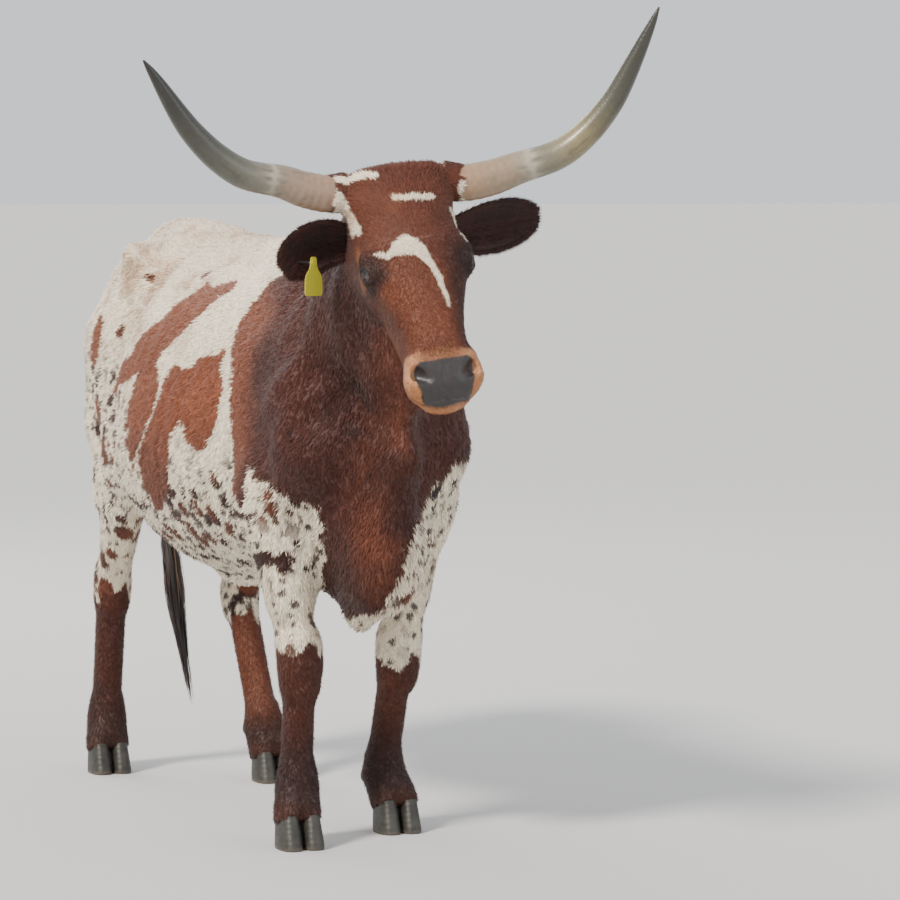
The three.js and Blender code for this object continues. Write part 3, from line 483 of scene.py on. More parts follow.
TORSO_FORMS = torso_forms()
NECK_FORMS = neck_forms()
LEG_FORMS = [f for name, leg in LEGS.items() for f in (fore_forms if "fore" in name else hind_forms)(leg)]
HEAD_FORMS = head_forms()
NOSTRILS = [limb(at(40 * s, -60, -504), at(62 * s, -48, -488), [9, 13], [11, 15]) for s in (-1, 1)]

# How wide the fillets are where forms meet, in metres
TRUNK_BLEND = 0.070
LIMB_BLEND = 0.026
HEAD_BLEND = 0.020
THROAT_BLEND = TRUNK_BLEND * 0.6
NOSTRIL_BLEND = 0.008


def head_flesh(local):
    """The head in its own frame, with the nostrils cut into it."""
    d = SKULL(-local[..., 2], local[..., 0], -local[..., 1])
    for form in HEAD_FORMS:
        d = blend(d, form(local), HEAD_BLEND)
    for form in NOSTRILS:
        d = -blend(-d, form(local), NOSTRIL_BLEND)
    return d


# The tail, and the curves of ears, horns and switch


def spline(points, count):
    """Evenly spaced places along a smooth curve through the points, and its directions there."""
    points = np.asarray(points, float)
    ends = np.vstack([2 * points[0] - points[1], points, 2 * points[-1] - points[-2]])
    fine = []
    for i in range(1, len(ends) - 2):
        a, b, c, d = ends[i - 1 : i + 3]
        t = np.linspace(0, 1, 40, endpoint=False)[:, None]
        fine.append(
            0.5 * (2 * b + (c - a) * t + (2 * a - 5 * b + 4 * c - d) * t**2 + (3 * b - a - 3 * c + d) * t**3)
        )
    fine = np.vstack([*fine, points[-1:]])
    run = np.concatenate([[0], np.cumsum(np.linalg.norm(np.diff(fine, axis=0), axis=1))])
    wanted = np.linspace(0, run[-1], count)
    places = np.stack([np.interp(wanted, run, fine[:, k]) for k in range(3)], 1)
    return places, unit(np.gradient(places, axis=0))


TAIL = [
    at(0, 1262, 1348), at(0, 1345, 1338), at(0, 1405, 1268), at(4, 1430, 1130),
    at(14, 1424, 900), at(24, 1408, 700), at(30, 1398, 560),
]
TAIL_PARTS = 14
# Only the tail's root is part of the skin's field, since the rest is thinner than its cells
ROOT_PARTS = 6


def tail_radius(t):
    """The tail's radius, which falls fast along its root and slowly below."""
    near = lerp(42, 21, np.minimum(t / 0.4, 1) ** 0.6)
    return np.where(t < 0.4, near, lerp(21, 11, (t - 0.4) / 0.6)) * MM


def tail_forms():
    """The limbs of the tail's root."""
    places, _ = spline(TAIL, TAIL_PARTS + 1)
    radii = tail_radius(np.linspace(0, 1, TAIL_PARTS + 1)) / MM
    return [limb(places[i], places[i + 1], [radii[i]] * 2, [radii[i + 1]] * 2) for i in range(ROOT_PARTS)]


TAIL_FORMS = tail_forms()

# The skin lies under the solids' surface by the coat's depth

COAT_DEPTH = 0.006
FACE_DEPTH = 0.0025
LID_WIDTH = 19 * MM
LID_HEIGHT = 12.5 * MM
MOUTH = [at(0, -6, -575), at(0, -3, -530), at(0, 5, -490), at(0, 18, -440), at(0, 24, -418)]


TAIL_STATIONS = 60
# The station of the tail where its own shell begins, inside the root
SHELL_START = 22


def tail_rings():
    """Rings of the tail below its root, which starts inside the root."""
    places, _ = spline(TAIL, TAIL_STATIONS)
    last = TAIL_STATIONS - 1

    def radii(t):
        depth = lerp(COAT_DEPTH + 0.0004, 0.003, smoothstep(0, 0.25, t))
        return tail_radius((SHELL_START + (last - SHELL_START) * t) / last) - depth

    return rod(places[SHELL_START:], radii, 90, 24)


def relax(verts, faces, weight, rounds):
    """Moves each vertex towards the middle of its neighbours, by its weight."""
    pairs = np.array([(f[k - 1], f[k]) for f in faces for k in range(len(f))])
    pairs = pairs[(weight[pairs[:, 0]] > 0) | (weight[pairs[:, 1]] > 0)]
    for _ in range(rounds):
        total, count = np.zeros_like(verts), np.zeros(len(verts))
        for a, b in ((0, 1), (1, 0)):
            np.add.at(total, pairs[:, a], verts[pairs[:, b]])
            np.add.at(count, pairs[:, a], 1)
        middle = total / np.maximum(count, 1)[:, None]
        verts = np.where((weight > 0)[:, None], mix(verts, middle, 0.5 * weight), verts)
    return verts


def eye_frame(s):
    """Rows along the lids, across them, and out of the eye."""
    way = eye_way(s)
    along = np.array([0, 0.42, 0.9])
    along = unit(along - way * (along @ way))
    return np.stack([along, np.cross(way, along), way])


def lid_distance(local, s):
    """Distance outside the almond between the lids, and how far a point is from the eye's middle."""
    q = (local - eye_place(s)) @ eye_frame(s).T
    u, v = q[..., 0] / LID_WIDTH, q[..., 1] * (1 if s < 0 else -1)
    edge = np.maximum(1 - u * u, 0.0)
    top = LID_HEIGHT * 1.05 * edge ** 0.85
    low = LID_HEIGHT * 0.85 * edge ** 0.9
    inside = np.where(v > 0, v - top, -v - low)
    past = np.maximum(np.abs(u) - 1, 0) * LID_WIDTH
    return np.where(past > 0, np.hypot(past, v), inside), np.linalg.norm(q, axis=-1), q[..., 2], v


def joined(p, forms):
    """Limbs joined to each other."""
    d = np.full(p.shape[:-1], 1.0)
    for form in forms:
        d = blend(d, form(p), LIMB_BLEND)
    return d


def skin(p, fine=False):
    """The skin's field: all flesh but ears and lower tail, drawn in by the coat's depth, with its folds."""
    d = BARREL(p[..., 1], p[..., 0], p[..., 2])
    for form in TORSO_FORMS + NECK_FORMS:
        d = blend(d, form(p), TRUNK_BLEND)
    d = blend(d, joined(p, LEG_FORMS), TRUNK_BLEND)
    d = blend(d, joined(p, TAIL_FORMS), LIMB_BLEND)
    local = to_head(p)
    d = blend(d, head_flesh(local), THROAT_BLEND)
    d = d + body_folds(p) + coat_depth(p)
    return face_folds(d, local) if fine else d


def coat_depth(p):
    """Least on the face and below the knees and hocks, most on the trunk."""
    local = to_head(p)
    face = smoothstep(-0.05, -0.2, local[..., 2]) * smoothstep(0.16, 0.05, local[..., 1])
    face = face * smoothstep(-0.25, -0.4, p[..., 1])
    low = smoothstep(0.62, 0.4, p[..., 2])
    return lerp(COAT_DEPTH, FACE_DEPTH, np.maximum(face, low))


# Hollows of the flank, the elbow and the hip, as [rearward, height, reach of both, depth] in metres
HOLLOWS = [(0.84, 1.2, 0.075, 0.085, 0.016), (0.16, 0.82, 0.05, 0.12, 0.010), (1.14, 1.24, 0.08, 0.07, 0.010)]


def body_folds(p):
    """Neck folds, ribs, and the hollows of flank, hip and shoulder."""
    x, y, z = p[..., 0], p[..., 1], p[..., 2]
    side = np.abs(x)
    neck = smoothstep(0.02, -0.12, y) * smoothstep(-0.42, -0.3, y) * smoothstep(0.6, 0.8, z)
    wave = np.sin((y * 0.85 + z * 0.52) * 62 + 2.2 * noise(p, 0.16, 11))
    folds = 0.0032 * neck * wave * smoothstep(1.42, 1.25, z)
    ribs = smoothstep(0.2, 0.34, y) * smoothstep(0.86, 0.72, y)
    ribs = ribs * smoothstep(0.72, 0.86, z) * smoothstep(1.28, 1.16, z)
    folds = folds + 0.0016 * ribs * np.sin((y + 0.22 * z) * 88)
    for middle_y, middle_z, reach_y, reach_z, depth in HOLLOWS:
        hollow = np.exp(-(((y - middle_y) / reach_y) ** 2) - ((z - middle_z) / reach_z) ** 2)
        folds = folds + depth * hollow * smoothstep(0.1, 0.2, side)
    return folds


def face_folds(d, local):
    """Lids, wrinkles round the eyes, lips and chin, the groove under the nose and wrinkles on the cheeks."""
    for s in (-1, 1):
        outside, away, out, v = lid_distance(local, s)
        front = smoothstep(0.0, 0.008, out)
        opening = np.maximum(outside, (EYE_RADIUS - 1.6) * MM - away)
        near = smoothstep(0.075, 0.03, away) * front
        crease = bell(outside, 0.0085, 0.0018) * np.where(v > 0, 1.0, 0.55)
        crease = crease + 0.6 * bell(outside, 0.0155, 0.0024)
        crease = crease + 0.35 * bell(outside, 0.024, 0.003)
        d = d + 0.0019 * near * crease
        d = d - 0.0012 * near * bell(outside, 0.002, 0.002)
        d = np.where(away < 0.05, np.maximum(d, -np.where(out > 0, opening, 1.0)), d)
    x, y, z = local[..., 0], local[..., 1], local[..., 2]
    lips, _ = spline(MOUTH, 30)
    line = np.interp(-z, -lips[::-1, 2][::-1], lips[:, 1])
    muzzle = smoothstep(-0.416, -0.432, z) * smoothstep(-0.6, -0.56, z)
    d = d + 0.0055 * muzzle * bell(y, line, 0.0022)
    d = d - 0.0018 * muzzle * bell(y - line, -0.007, 0.005)
    d = d - 0.0015 * muzzle * bell(y - line, 0.007, 0.005)
    philtrum = smoothstep(-0.47, -0.5, z) * smoothstep(0.0, -0.02, y)
    d = d + 0.0022 * philtrum * bell(x, 0, 0.0022)
    cheek = smoothstep(-0.3, -0.33, z) * smoothstep(-0.42, -0.39, z) * smoothstep(0.02, 0.04, np.abs(x))
    return d + 0.0007 * cheek * np.sin(170 * (z + 0.7 * y))


# Meshing


def slope(field, points, step=0.001):
    """The field at the points, and how it rises along each axis."""
    here = field(points)
    parts = [field(points + step * axis) - here for axis in (LEFT, BACK, UP)]
    return here, np.stack(parts, -1) / step


def settle(field, points, most, rounds):
    """Moves points along the slope onto the surface."""
    for _ in range(rounds):
        here, way = slope(field, points)
        step = -here / np.maximum((way * way).sum(-1), 0.2)
        points = points + way * np.clip(step, -most, most)[..., None]
    return points


def surface_nets(field, low, high, cell, block=4):
    """Vertices and quads of a field's surface, looked for only in blocks near it."""
    counts = np.ceil((high - low) / cell / block).astype(int) * block
    axes = [low[k] + cell * np.arange(counts[k] + 1) for k in range(3)]
    centres = [low[k] + cell * block * (np.arange(counts[k] // block) + 0.5) for k in range(3)]
    grid = np.stack(np.meshgrid(*centres, indexing="ij"), -1)
    coarse = field(grid.reshape(-1, 3)).reshape(grid.shape[:3])
    reach = cell * block * 1.5
    value = np.repeat(np.repeat(np.repeat(coarse, block, 0), block, 1), block, 2)
    value = np.pad(value, ((0, 1),) * 3, mode="edge")
    needed = np.zeros(value.shape, bool)
    for i, j, k in np.argwhere(np.abs(coarse) < reach) * block:
        needed[i : i + block + 1, j : j + block + 1, k : k + block + 1] = True
    ids = np.argwhere(needed)
    for start in range(0, len(ids), 200000):
        part = ids[start : start + 200000]
        points = np.stack([axes[k][part[:, k]] for k in range(3)], -1)
        value[part[:, 0], part[:, 1], part[:, 2]] = field(points)
    fill_pinches(value)
    inside = value < 0
    cells = sum(
        inside[dx : dx + counts[0], dy : dy + counts[1], dz : dz + counts[2]].astype(np.int8)
        for dx in (0, 1)
        for dy in (0, 1)
        for dz in (0, 1)
    )
    crossed = np.argwhere((cells > 0) & (cells < 8))
    number = np.full(cells.shape, -1, np.int32)
    number[tuple(crossed.T)] = np.arange(len(crossed))
    total = np.zeros((len(crossed), 3))
    hits = np.zeros(len(crossed))
    corners = [np.array([c & 1, (c >> 1) & 1, c >> 2]) for c in range(8)]
    for a in range(8):
        for bit in (1, 2, 4):
            if a & bit:
                continue
            ia, ib = crossed + corners[a], crossed + corners[a | bit]
            va, vb = value[tuple(ia.T)], value[tuple(ib.T)]
            hit = (va < 0) != (vb < 0)
            t = np.where(hit, va / np.where(hit, va - vb, 1.0), 0.0)
            place = corners[a] + (corners[a | bit] - corners[a]) * t[:, None]
            total += np.where(hit[:, None], place, 0.0)
            hits += hit
    verts = low + cell * (crossed + total / hits[:, None])
    quads = []
    for axis in range(3):
        u, v = (axis + 1) % 3, (axis + 2) % 3
        first = [slice(1, -1)] * 3
        first[axis] = slice(0, -1)
        second = list(first)
        second[axis] = slice(1, None)
        here, there = inside[tuple(first)], inside[tuple(second)]
        edge = np.argwhere(here != there)
        turned = here[tuple(edge.T)]
        edge[:, u] += 1
        edge[:, v] += 1
        around = []
        for du, dv in ((0, 0), (1, 0), (1, 1), (0, 1)):
            c = edge.copy()
            c[:, u] -= du
            c[:, v] -= dv
            around.append(number[tuple(c.T)])
        quad = np.stack(around, -1)
        quads.append(np.where(turned[:, None], quad, quad[:, ::-1]))
    return settle(field, verts, cell / 4, 3), np.vstack(quads)


FILL_ROUNDS = 6
# The value given to a filled grid point, just inside the surface
FILLED = -1e-4


def fill_pinches(value):
    """Fills a third corner of each grid square that only two opposite corners fill."""
    for _ in range(FILL_ROUNDS):
        inside = value < 0
        filled = 0
        for u, v in ((0, 1), (1, 2), (2, 0)):
            parts = []
            for du, dv in ((0, 0), (1, 0), (1, 1), (0, 1)):
                where = [slice(None)] * 3
                where[u] = slice(du, value.shape[u] - 1 + du)
                where[v] = slice(dv, value.shape[v] - 1 + dv)
                parts.append(tuple(where))
            a, b, c, d = (inside[w] for w in parts)
            for other in (1, 0):
                bad = (a == c) & (b == d) & (a != b) & (a == bool(other))
                target = value[parts[other]]
                target[bad] = FILLED
                filled += int(bad.sum())
        if not filled:
            return


def mesh_object(name, verts, faces, material, smooth=True, **attributes):
    """A mesh object from arrays, with numbers or colours for its vertices by name."""
    mesh = bpy.data.meshes.new(name)
    verts = np.asarray(verts, float) - ORIGIN
    if isinstance(faces, np.ndarray):
        count, corners = faces.shape
        mesh.vertices.add(len(verts))
        mesh.vertices.foreach_set("co", verts.astype(np.float32).ravel())
        mesh.loops.add(count * corners)
        mesh.loops.foreach_set("vertex_index", faces.astype(np.int32).ravel())
        mesh.polygons.add(count)
        starts = np.arange(0, count * corners, corners, dtype=np.int32)
        mesh.polygons.foreach_set("loop_start", starts)
        mesh.update(calc_edges=True)
    else:
        mesh.from_pydata(verts.tolist(), [], faces)
        mesh.update()
    mesh.polygons.foreach_set("use_smooth", np.full(len(mesh.polygons), smooth))
    for key, values in attributes.items():
        paint(mesh, key, values)
    mesh.materials.append(material)
    obj = bpy.data.objects.new(name, mesh)
    bpy.context.scene.collection.objects.link(obj)
    return obj


def paint(mesh, key, values):
    """A colour or a number for each vertex."""
    values = np.asarray(values, np.float32)
    if values.ndim == 2:
        layer = mesh.attributes.new(key, "FLOAT_COLOR", "POINT")
        solid = np.ones((len(values), 1))
        layer.data.foreach_set("color", np.hstack([values, solid]).astype(np.float32).ravel())
    else:
        layer = mesh.attributes.new(key, "FLOAT", "POINT")
        layer.data.foreach_set("value", values)


def bake_map(obj, uvs):
    """The map for baking, from a place on it for each vertex."""
    layer = obj.data.uv_layers.new(name="OFBake")
    corner = np.empty(len(obj.data.loops), np.int32)
    obj.data.loops.foreach_get("vertex_index", corner)
    layer.data.foreach_set("uv", uvs[corner].astype(np.float32).ravel())


def merge(parts):
    """One mesh from several, each with its vertices and faces."""
    verts, faces, base = [], [], 0
    for part_verts, part_faces in parts:
        verts.append(part_verts)
        faces += [[i + base for i in face] for face in part_faces]
        base += len(part_verts)
    return np.vstack(verts), faces


# Markings of the coat, as places on the body in millimetres


def capsules(points, chains):
    """How deep points lie in chains of [u, v, radius] in millimetres; in metres, above zero inside."""
    best = np.full(points.shape[:-1], -1.0)
    for chain in chains:
        chain = np.array(chain, float) * MM
        pairs = [(chain[0], chain[0])] if len(chain) == 1 else zip(chain[:-1], chain[1:])
        for a, b in pairs:
            step = b[:2] - a[:2]
            t = np.clip((points - a[:2]) @ step / max(step @ step, 1e-9), 0, 1)
            near = np.linalg.norm(points - a[:2] - t[..., None] * step, axis=-1)
            best = np.maximum(best, a[2] + (b[2] - a[2]) * t - near)
    return best


# The rear edge of the dark front as [height, rearward], and its lower edge as [across, height]
FRONT_EDGE = [
    (1340, 20), (1295, 51), (1273, 115), (1220, 174), (1178, 196), (1126, 190), (1046, 166), (963, 149),
    (881, 142), (824, 84), (790, 50),
]
FRONT_FOOT = [
    (-300, 884), (-268, 888), (-257, 892), (-250, 896), (-238, 904), (-234, 850), (-222, 820), (-206, 802),
    (-180, 794), (-158, 792), (-135, 764), (-119, 711), (-98, 650), (-80, 580), (-60, 505), (-34, 510),
    (-19, 585), (0, 645), (22, 696), (44, 752), (78, 790), (102, 832), (140, 866), (170, 884), (205, 880),
    (240, 800), (262, 786), (300, 786),
]
# The tongue of red hanging behind the right shoulder, as [rearward, height, radius]
TONGUE = [[(100, 1000, 56), (90, 940, 62), (80, 885, 66), (64, 842, 52), (46, 806, 30), (34, 780, 8)]]
# Red patches on the right flank, as [rearward, height, radius]
RED_RIGHT = [
    [
        (326, 1258, 10), (396, 1240, 28), (470, 1202, 54), (557, 1152, 64), (650, 1106, 56), (777, 1054, 34),
        (907, 1000, 9),
    ],
    [(606, 1072, 54), (592, 1000, 82), (612, 938, 70), (638, 882, 38), (652, 846, 10)],
    [(420, 1006, 62), (444, 958, 62), (470, 900, 66), (506, 826, 76), (530, 776, 48)],
    [(226, 1100, 12), (262, 1072, 34), (290, 1018, 84), (290, 972, 80), (280, 930, 48), (266, 898, 12)],
    [(340, 1036, 44), (410, 1002, 56)],
    [(1040, 1160, 26), (1062, 1085, 34)],
    [(1040, 940, 36), (1085, 905, 46)],
    [(955, 834, 26), (990, 850, 18)],
]
# Cream gaps in the red of the right flank, in the same manner
WHITE_RIGHT = [
    [(196, 1130, 5), (178, 1046, 8), (172, 965, 16), (178, 905, 26), (170, 830, 34), (160, 780, 34)],
    [(350, 948, 3), (384, 912, 13), (398, 850, 22), (402, 800, 22)],
]
# The left flank, which the photo hides, in the same manner
RED_LEFT = [
    [(260, 1240, 22), (360, 1180, 52), (480, 1120, 60), (600, 1100, 52), (720, 1040, 30)],
    [(420, 1100, 58), (400, 1000, 66), (380, 900, 60), (400, 800, 34)],
    [(600, 1050, 50), (640, 960, 54), (650, 860, 38)],
    [(860, 1080, 30), (920, 1010, 38), (960, 930, 24)],
    [(1080, 1100, 36), (1120, 1020, 30)],
]
WHITE_LEFT = [
    [(160, 1200, 10), (190, 1060, 22), (200, 900, 28), (210, 800, 34)],
    [(500, 1010, 10), (520, 900, 24), (520, 820, 28)],
]
# Single dark red spots on the right side, as [rearward, height, radius]
SPOTS_RIGHT = [
    [(407, 740, 15)], [(338, 754, 13), (340, 742, 15)], [(294, 748, 15), (294, 735, 14)], [(179, 753, 15)],
    [(249, 713, 15), (262, 700, 12)], [(432, 691, 22)], [(441, 661, 15), (420, 655, 13)], [(384, 670, 18)],
    [(371, 808, 10)], [(236, 830, 14)], [(618, 672, 12), (585, 660, 14)], [(705, 660, 13), (672, 640, 15)],
    [(560, 690, 12), (530, 668, 15)], [(865, 1266, 12)], [(545, 1281, 15)], [(924, 1133, 17)],
    [(985, 673, 16)], [(1120, 813, 18)],
]
# Large dark spots on the right forearm, as [across, height, radius]
ARM_SPOTS = [
    [(-191, 767, 9)], [(-158, 698, 10)], [(-186, 652, 20), (-178, 664, 14)],
    [(-222, 642, 17), (-214, 660, 12)],
    [(-257, 752, 10)], [(-215, 579, 8)], [(-138, 643, 9)], [(-119, 651, 8)],
]
# Head markings, in the head's own frame, as [across, down the face, radius]
HEAD_WHITE = [
    [(-122, -6, 9), (-84, -17, 10), (-50, -24, 7)],
    [(-24, -88, 7), (-9, -92, 7), (29, -95, 8), (52, -96, 6)],
    [(-130, -46, 13), (-124, -64, 12), (-114, -88, 8), (-107, -118, 5), (-103, -136, 4)],
    [(97, -118, 6), (104, -150, 8), (108, -176, 7), (111, -192, 4)],
    [(-92, -206, 3), (-80, -211, 5), (-66, -218, 6)],
    [
        (-62, -212, 8), (-46, -206, 15), (-26, -204, 20), (-4, -214, 17), (8, -236, 11), (20, -264, 8),
        (28, -296, 6), (33, -326, 5), (35, -350, 2),
    ],
    [(134, -56, 12), (140, -72, 10)],
]


def warp(p, size, amount, seed):
    """Places shifted by noise, so that edges drawn from them come out uneven."""
    return p + amount * np.stack([noise(p, size, seed + k) for k in range(3)], -1)


def colour(name):
    """A colour from the settings, as red, green and blue."""
    return np.array(getattr(bpy.context.scene.longhorn, name)[:3])


def colours(p, names):
    """Colours from the settings by their names, each over all the places."""
    return [colour(name) * np.ones(p.shape) for name in names.split()]


def mix(a, b, amount):
    """Colours or places from a to b, by an amount for each row."""
    return a + (b - a) * np.clip(amount, 0.0, 1.0)[..., None]


def coat_colour(p):
    """The coat's colour at places on the body."""
    cream, red, mahogany, black, roan = colours(p, "cream red mahogany black roan")
    q = warp(warp(p, 0.07, 0.011, 21), 0.018, 0.0045, 31)
    x, y, z = q[..., 0], q[..., 1], q[..., 2]
    edge = 0.002
    shade = noise(p, 0.11, 41)
    grain = noise(p, 0.012, 51)
    c = cream * (1 + 0.03 * grain[..., None])

    # faint roan over the back, loins and rump
    back = smoothstep(0.98, 1.2, z) * smoothstep(0.2, 0.5, y)
    mottle = smoothstep(0.05, 0.7, noise(q, 0.06, 61) * 0.8 + grain * 0.45 + 0.1)
    c = mix(c, roan, back * mottle * 0.8)
    c = mix(c, roan, 0.3 * smoothstep(1.2, 1.36, z) * smoothstep(0.3, 0.5, y))

    # speckles over the belly, lower flank, thighs and forearms
    limit = 0.9 + 0.2 * smoothstep(0.5, 0.95, y) + 0.05 * shade
    zone = smoothstep(limit + 0.05, limit - 0.08, z)
    arm = smoothstep(0.76, 0.7, z) * smoothstep(0.2, 0.1, y)
    small = smoothstep(-edge, edge, speckle(q, 0.025, 71, 0.95, 0.2, 0.46))
    middle = smoothstep(-edge, edge, speckle(q, 0.05, 81, 0.9, 0.2, 0.42))
    large = smoothstep(-edge, edge, speckle(q, 0.085, 91, 0.6, 0.12, 0.34))
    dots = mix(mix(mahogany, black, 0.4 + 0.45 * shade), red, smoothstep(0.0, 0.5, noise(p, 0.16, 99)) * 0.6)
    grey = mix(black * 2 + 0.01, dots, 0.5 + 0.5 * shade)
    c = mix(c, grey, small * zone * 0.92)
    c = mix(c, dots, middle * zone * (1 - 0.7 * arm))
    c = mix(c, dots, large * zone * (1 - arm))
    side = np.stack([y, z], -1)
    spots = np.where(x < 0, capsules(side, SPOTS_RIGHT), speckle(q, 0.09, 95, 0.5) - 0.012)
    c = mix(c, mix(mahogany, red, 0.35), smoothstep(-edge, edge, spots) * smoothstep(0.5, 0.56, z))
    arms = capsules(np.stack([x, z], -1), ARM_SPOTS)
    c = mix(c, mix(mahogany, black, 0.4), smoothstep(-edge, edge, arms) * (y < 0.12))

    # red patches on the flanks
    reds = np.where(x < 0, capsules(side, RED_RIGHT), capsules(side, RED_LEFT))
    whites = np.where(x < 0, capsules(side, WHITE_RIGHT), capsules(side, WHITE_LEFT))
    tone = mix(red * (1 + 0.14 * shade[..., None]), mahogany, 0.5 * smoothstep(1.0, 0.8, z) + 0.2 * grain)
    c = mix(c, tone, smoothstep(-edge, edge, np.minimum(reds, -whites)))

    # the dark front: neck, shoulders and chest, redder behind, and down the front of the throat a painted
    # streak of sunlight in red
    edge_z, edge_y = np.array(FRONT_EDGE[::-1], float).T * MM
    foot_x, foot_z = np.array(FRONT_FOOT, float).T * MM
    behind = np.interp(z, edge_z, edge_y) - y
    above = z - np.interp(x, foot_x, foot_z)
    dark = mahogany * (1 + 0.25 * shade[..., None])
    dark = mix(dark, red, 0.85 * smoothstep(0.0, 0.13, y + 0.03 * shade) * smoothstep(1.36, 1.2, z))
    # painted light: a red streak of sunlight down the front of the neck
    throat = smoothstep(0.1, 0.01, np.abs(x + 0.045 + 0.05 * (1.0 - z))) * smoothstep(-0.18, -0.28, y)
    dark = mix(dark, red, 0.42 * throat * smoothstep(-0.8, 0.3, shade))
    dark = mix(dark, black, 0.3 * smoothstep(0.3, 0.8, noise(p, 0.05, 65)))
    tongue = np.minimum(capsules(side, TONGUE), -0.15 - x)
    c = mix(c, dark, smoothstep(-edge, edge, np.maximum(np.minimum(behind, above), tongue)))

    for name in LEGS:
        c = leg_colour(name, p, q, c, shade, grain)
    behind_rump = smoothstep(1.372, 1.392, p[..., 1]) * smoothstep(0.5, 0.56, p[..., 2])
    c = mix(c, mix(cream, red * 0.8, 0.4 + 0.5 * shade), behind_rump * 0.8)
    return head_colour(p, c)


# How high the dark lower part of each leg reaches, in metres
DARK_HEIGHT = {"fore_right": 0.455, "fore_left": 0.41, "hind_right": 0.46, "hind_left": 0.4}


def leg_colour(name, p, q, c, shade, grain):
    """A leg dark below its knee or hock, black at the fetlock, with a ragged upper edge."""
    cream, red, mahogany, black = colours(p, "cream red mahogany black")
    leg = LEGS[name]
    fore = name.startswith("fore")
    top = DARK_HEIGHT[name]
    spots = np.array([leg[k] for k in ("foot", "fetlock", "middle", "top")])
    centre, deep = (np.interp(p[..., 2], spots[:, 2], spots[:, k]) for k in (0, 1))
    mine = np.hypot(p[..., 0] - centre, p[..., 1] - deep) < 0.15
    mine &= (p[..., 2] < 0.64) & (p[..., 0] * leg["side"] > 0.02)
    z = q[..., 2]
    ragged = 0.035 * noise(p * np.array([1, 1, 0.35]), 0.022, 101) + 0.02 * shade
    down = smoothstep(-0.003, 0.003, top + ragged - z)
    shank = mix(mahogany, red, (0.14 if fore else 0.24) + 0.25 * shade)
    front = smoothstep(0.02, -0.03, p[..., 1] - deep)
    shank = mix(shank, mahogany * 0.8, 0.5 * front)
    shank = mix(shank, black, 0.6 * smoothstep(0.26, 0.14, z + 0.04 * shade + 0.015 * grain))
    shank = mix(shank, mix(red, mahogany, 0.7), 0.35 * smoothstep(0.12, 0.07, z + 0.03 * shade))
    shank = mix(shank, black, 0.6 * smoothstep(0.075, 0.05, z))
    if fore:
        aside = np.abs(p[..., 0] - centre + 0.012 * leg["side"])
        rear = smoothstep(0.02, 0.03, p[..., 1] - deep) * smoothstep(0.014, 0.006, aside)
        shank = mix(shank, cream, 0.8 * rear * smoothstep(0.3, 0.38, z))
    else:
        shank = mix(shank, red, 0.4 * (leg["side"] > 0) * smoothstep(0.12, 0.2, z))
        patch = smoothstep(0.0, 0.08, noise(p, 0.07, 107) + smoothstep(0.56, top, z) * 0.4 - 0.45)
        tone = mix(red, mahogany, 0.8 if leg["side"] < 0 else 0.35)
        c = np.where(mine[..., None], mix(c, tone, patch * smoothstep(0.62, 0.55, z)), c)
    return np.where(mine[..., None], mix(c, shank, down), c)


def head_colour(p, c):
    """The coat's colour with the head's markings and painted shade laid over it."""
    cream, red, mahogany, black, tan = colours(p, "cream red mahogany black tan")
    local = to_head(warp(p, 0.02, 0.0026, 111))
    x, y, z = local[..., 0], local[..., 1], local[..., 2]
    on = smoothstep(0.13, 0.09, y) * smoothstep(-0.17, -0.22, p[..., 1])
    shade = noise(p, 0.05, 121)
    edge = 0.0014
    face = mix(mahogany, red, 0.42 + 0.25 * shade)
    face = mix(face, mahogany, 0.45 * smoothstep(-0.2, -0.1, z))
    face = mix(face, mahogany, 0.6 * smoothstep(0.0, 0.05, y))
    face = mix(face, red, 0.35 * smoothstep(-0.2, -0.3, z) * smoothstep(-0.02, -0.06, y))
    # painted shade: the face's left side, turned away from the light, darkened towards mahogany
    far = smoothstep(0.015, 0.075, x + 0.012 * shade) * smoothstep(-0.1, -0.26, z)
    face = mix(face, mahogany * 0.65, 0.85 * far)
    for s in (-1, 1):
        _, away, out, _ = lid_distance(local, s)
        # a near-black ring round each eye: partly the coat's own dark and partly painted shade of the sunken
        # eye and its lids
        face = mix(face, mix(black, mahogany, 0.2), 0.85 * smoothstep(0.062, 0.026, away + 0.012 * shade))
        for dx, dy, dz, size in ((12, 62, 14, 0.034), (4, 40, 66, 0.028)):
            distance = np.linalg.norm(local - (eye_place(s) + at(dx * s, dy, dz)), axis=-1)
            face = mix(face, tan * 0.8, 0.5 * smoothstep(size, size * 0.3, distance))
    jaw = smoothstep(0.0, 0.06, y) * smoothstep(-0.28, -0.38, z)
    face = mix(face, mix(red, tan, 0.3), 0.5 * jaw)
    patches = capsules(np.stack([x, z], -1), HEAD_WHITE)
    pink = 0.35 * smoothstep(0.0, -0.02, x) * smoothstep(-0.07, -0.08, z) * smoothstep(-0.11, -0.1, z)
    white = mix(cream, tan, pink)
    face = mix(face, white, 0.93 * smoothstep(-edge, edge, patches) * smoothstep(0.04, 0.01, y))
    ring = smoothstep(-0.435, -0.452, z + 0.006 * shade - 0.1 * np.minimum(y + 0.03, 0))
    orange = mix(tan * 1.1, cream, 0.05 + 0.15 * shade)
    orange = mix(orange, mahogany, 0.6 * smoothstep(-0.03, -0.055, y) * smoothstep(0.075, 0.03, np.abs(x)))
    face = mix(face, orange, ring * 0.92)
    lip = bell(y, 0.001, 0.005) * smoothstep(-0.44, -0.5, z)
    face = mix(face, black + 0.02, 0.5 * lip)
    return mix(mix(c, face, on), nose_colour(local, black), nose_pad(local) * on)


def nose_pad(local):
    """One on the bare, moist pad between and below the nostrils."""
    x, y, z = local[..., 0], local[..., 1], local[..., 2]
    width = np.interp(-z, [0.462, 0.476, 0.51, 0.54], [0.05, 0.066, 0.064, 0.05])
    pad = np.minimum(width - np.abs(x), np.minimum(-0.464 - z, -0.008 - y + 0.2 * (-0.5 - z)))
    return smoothstep(-0.0015, 0.0025, pad)


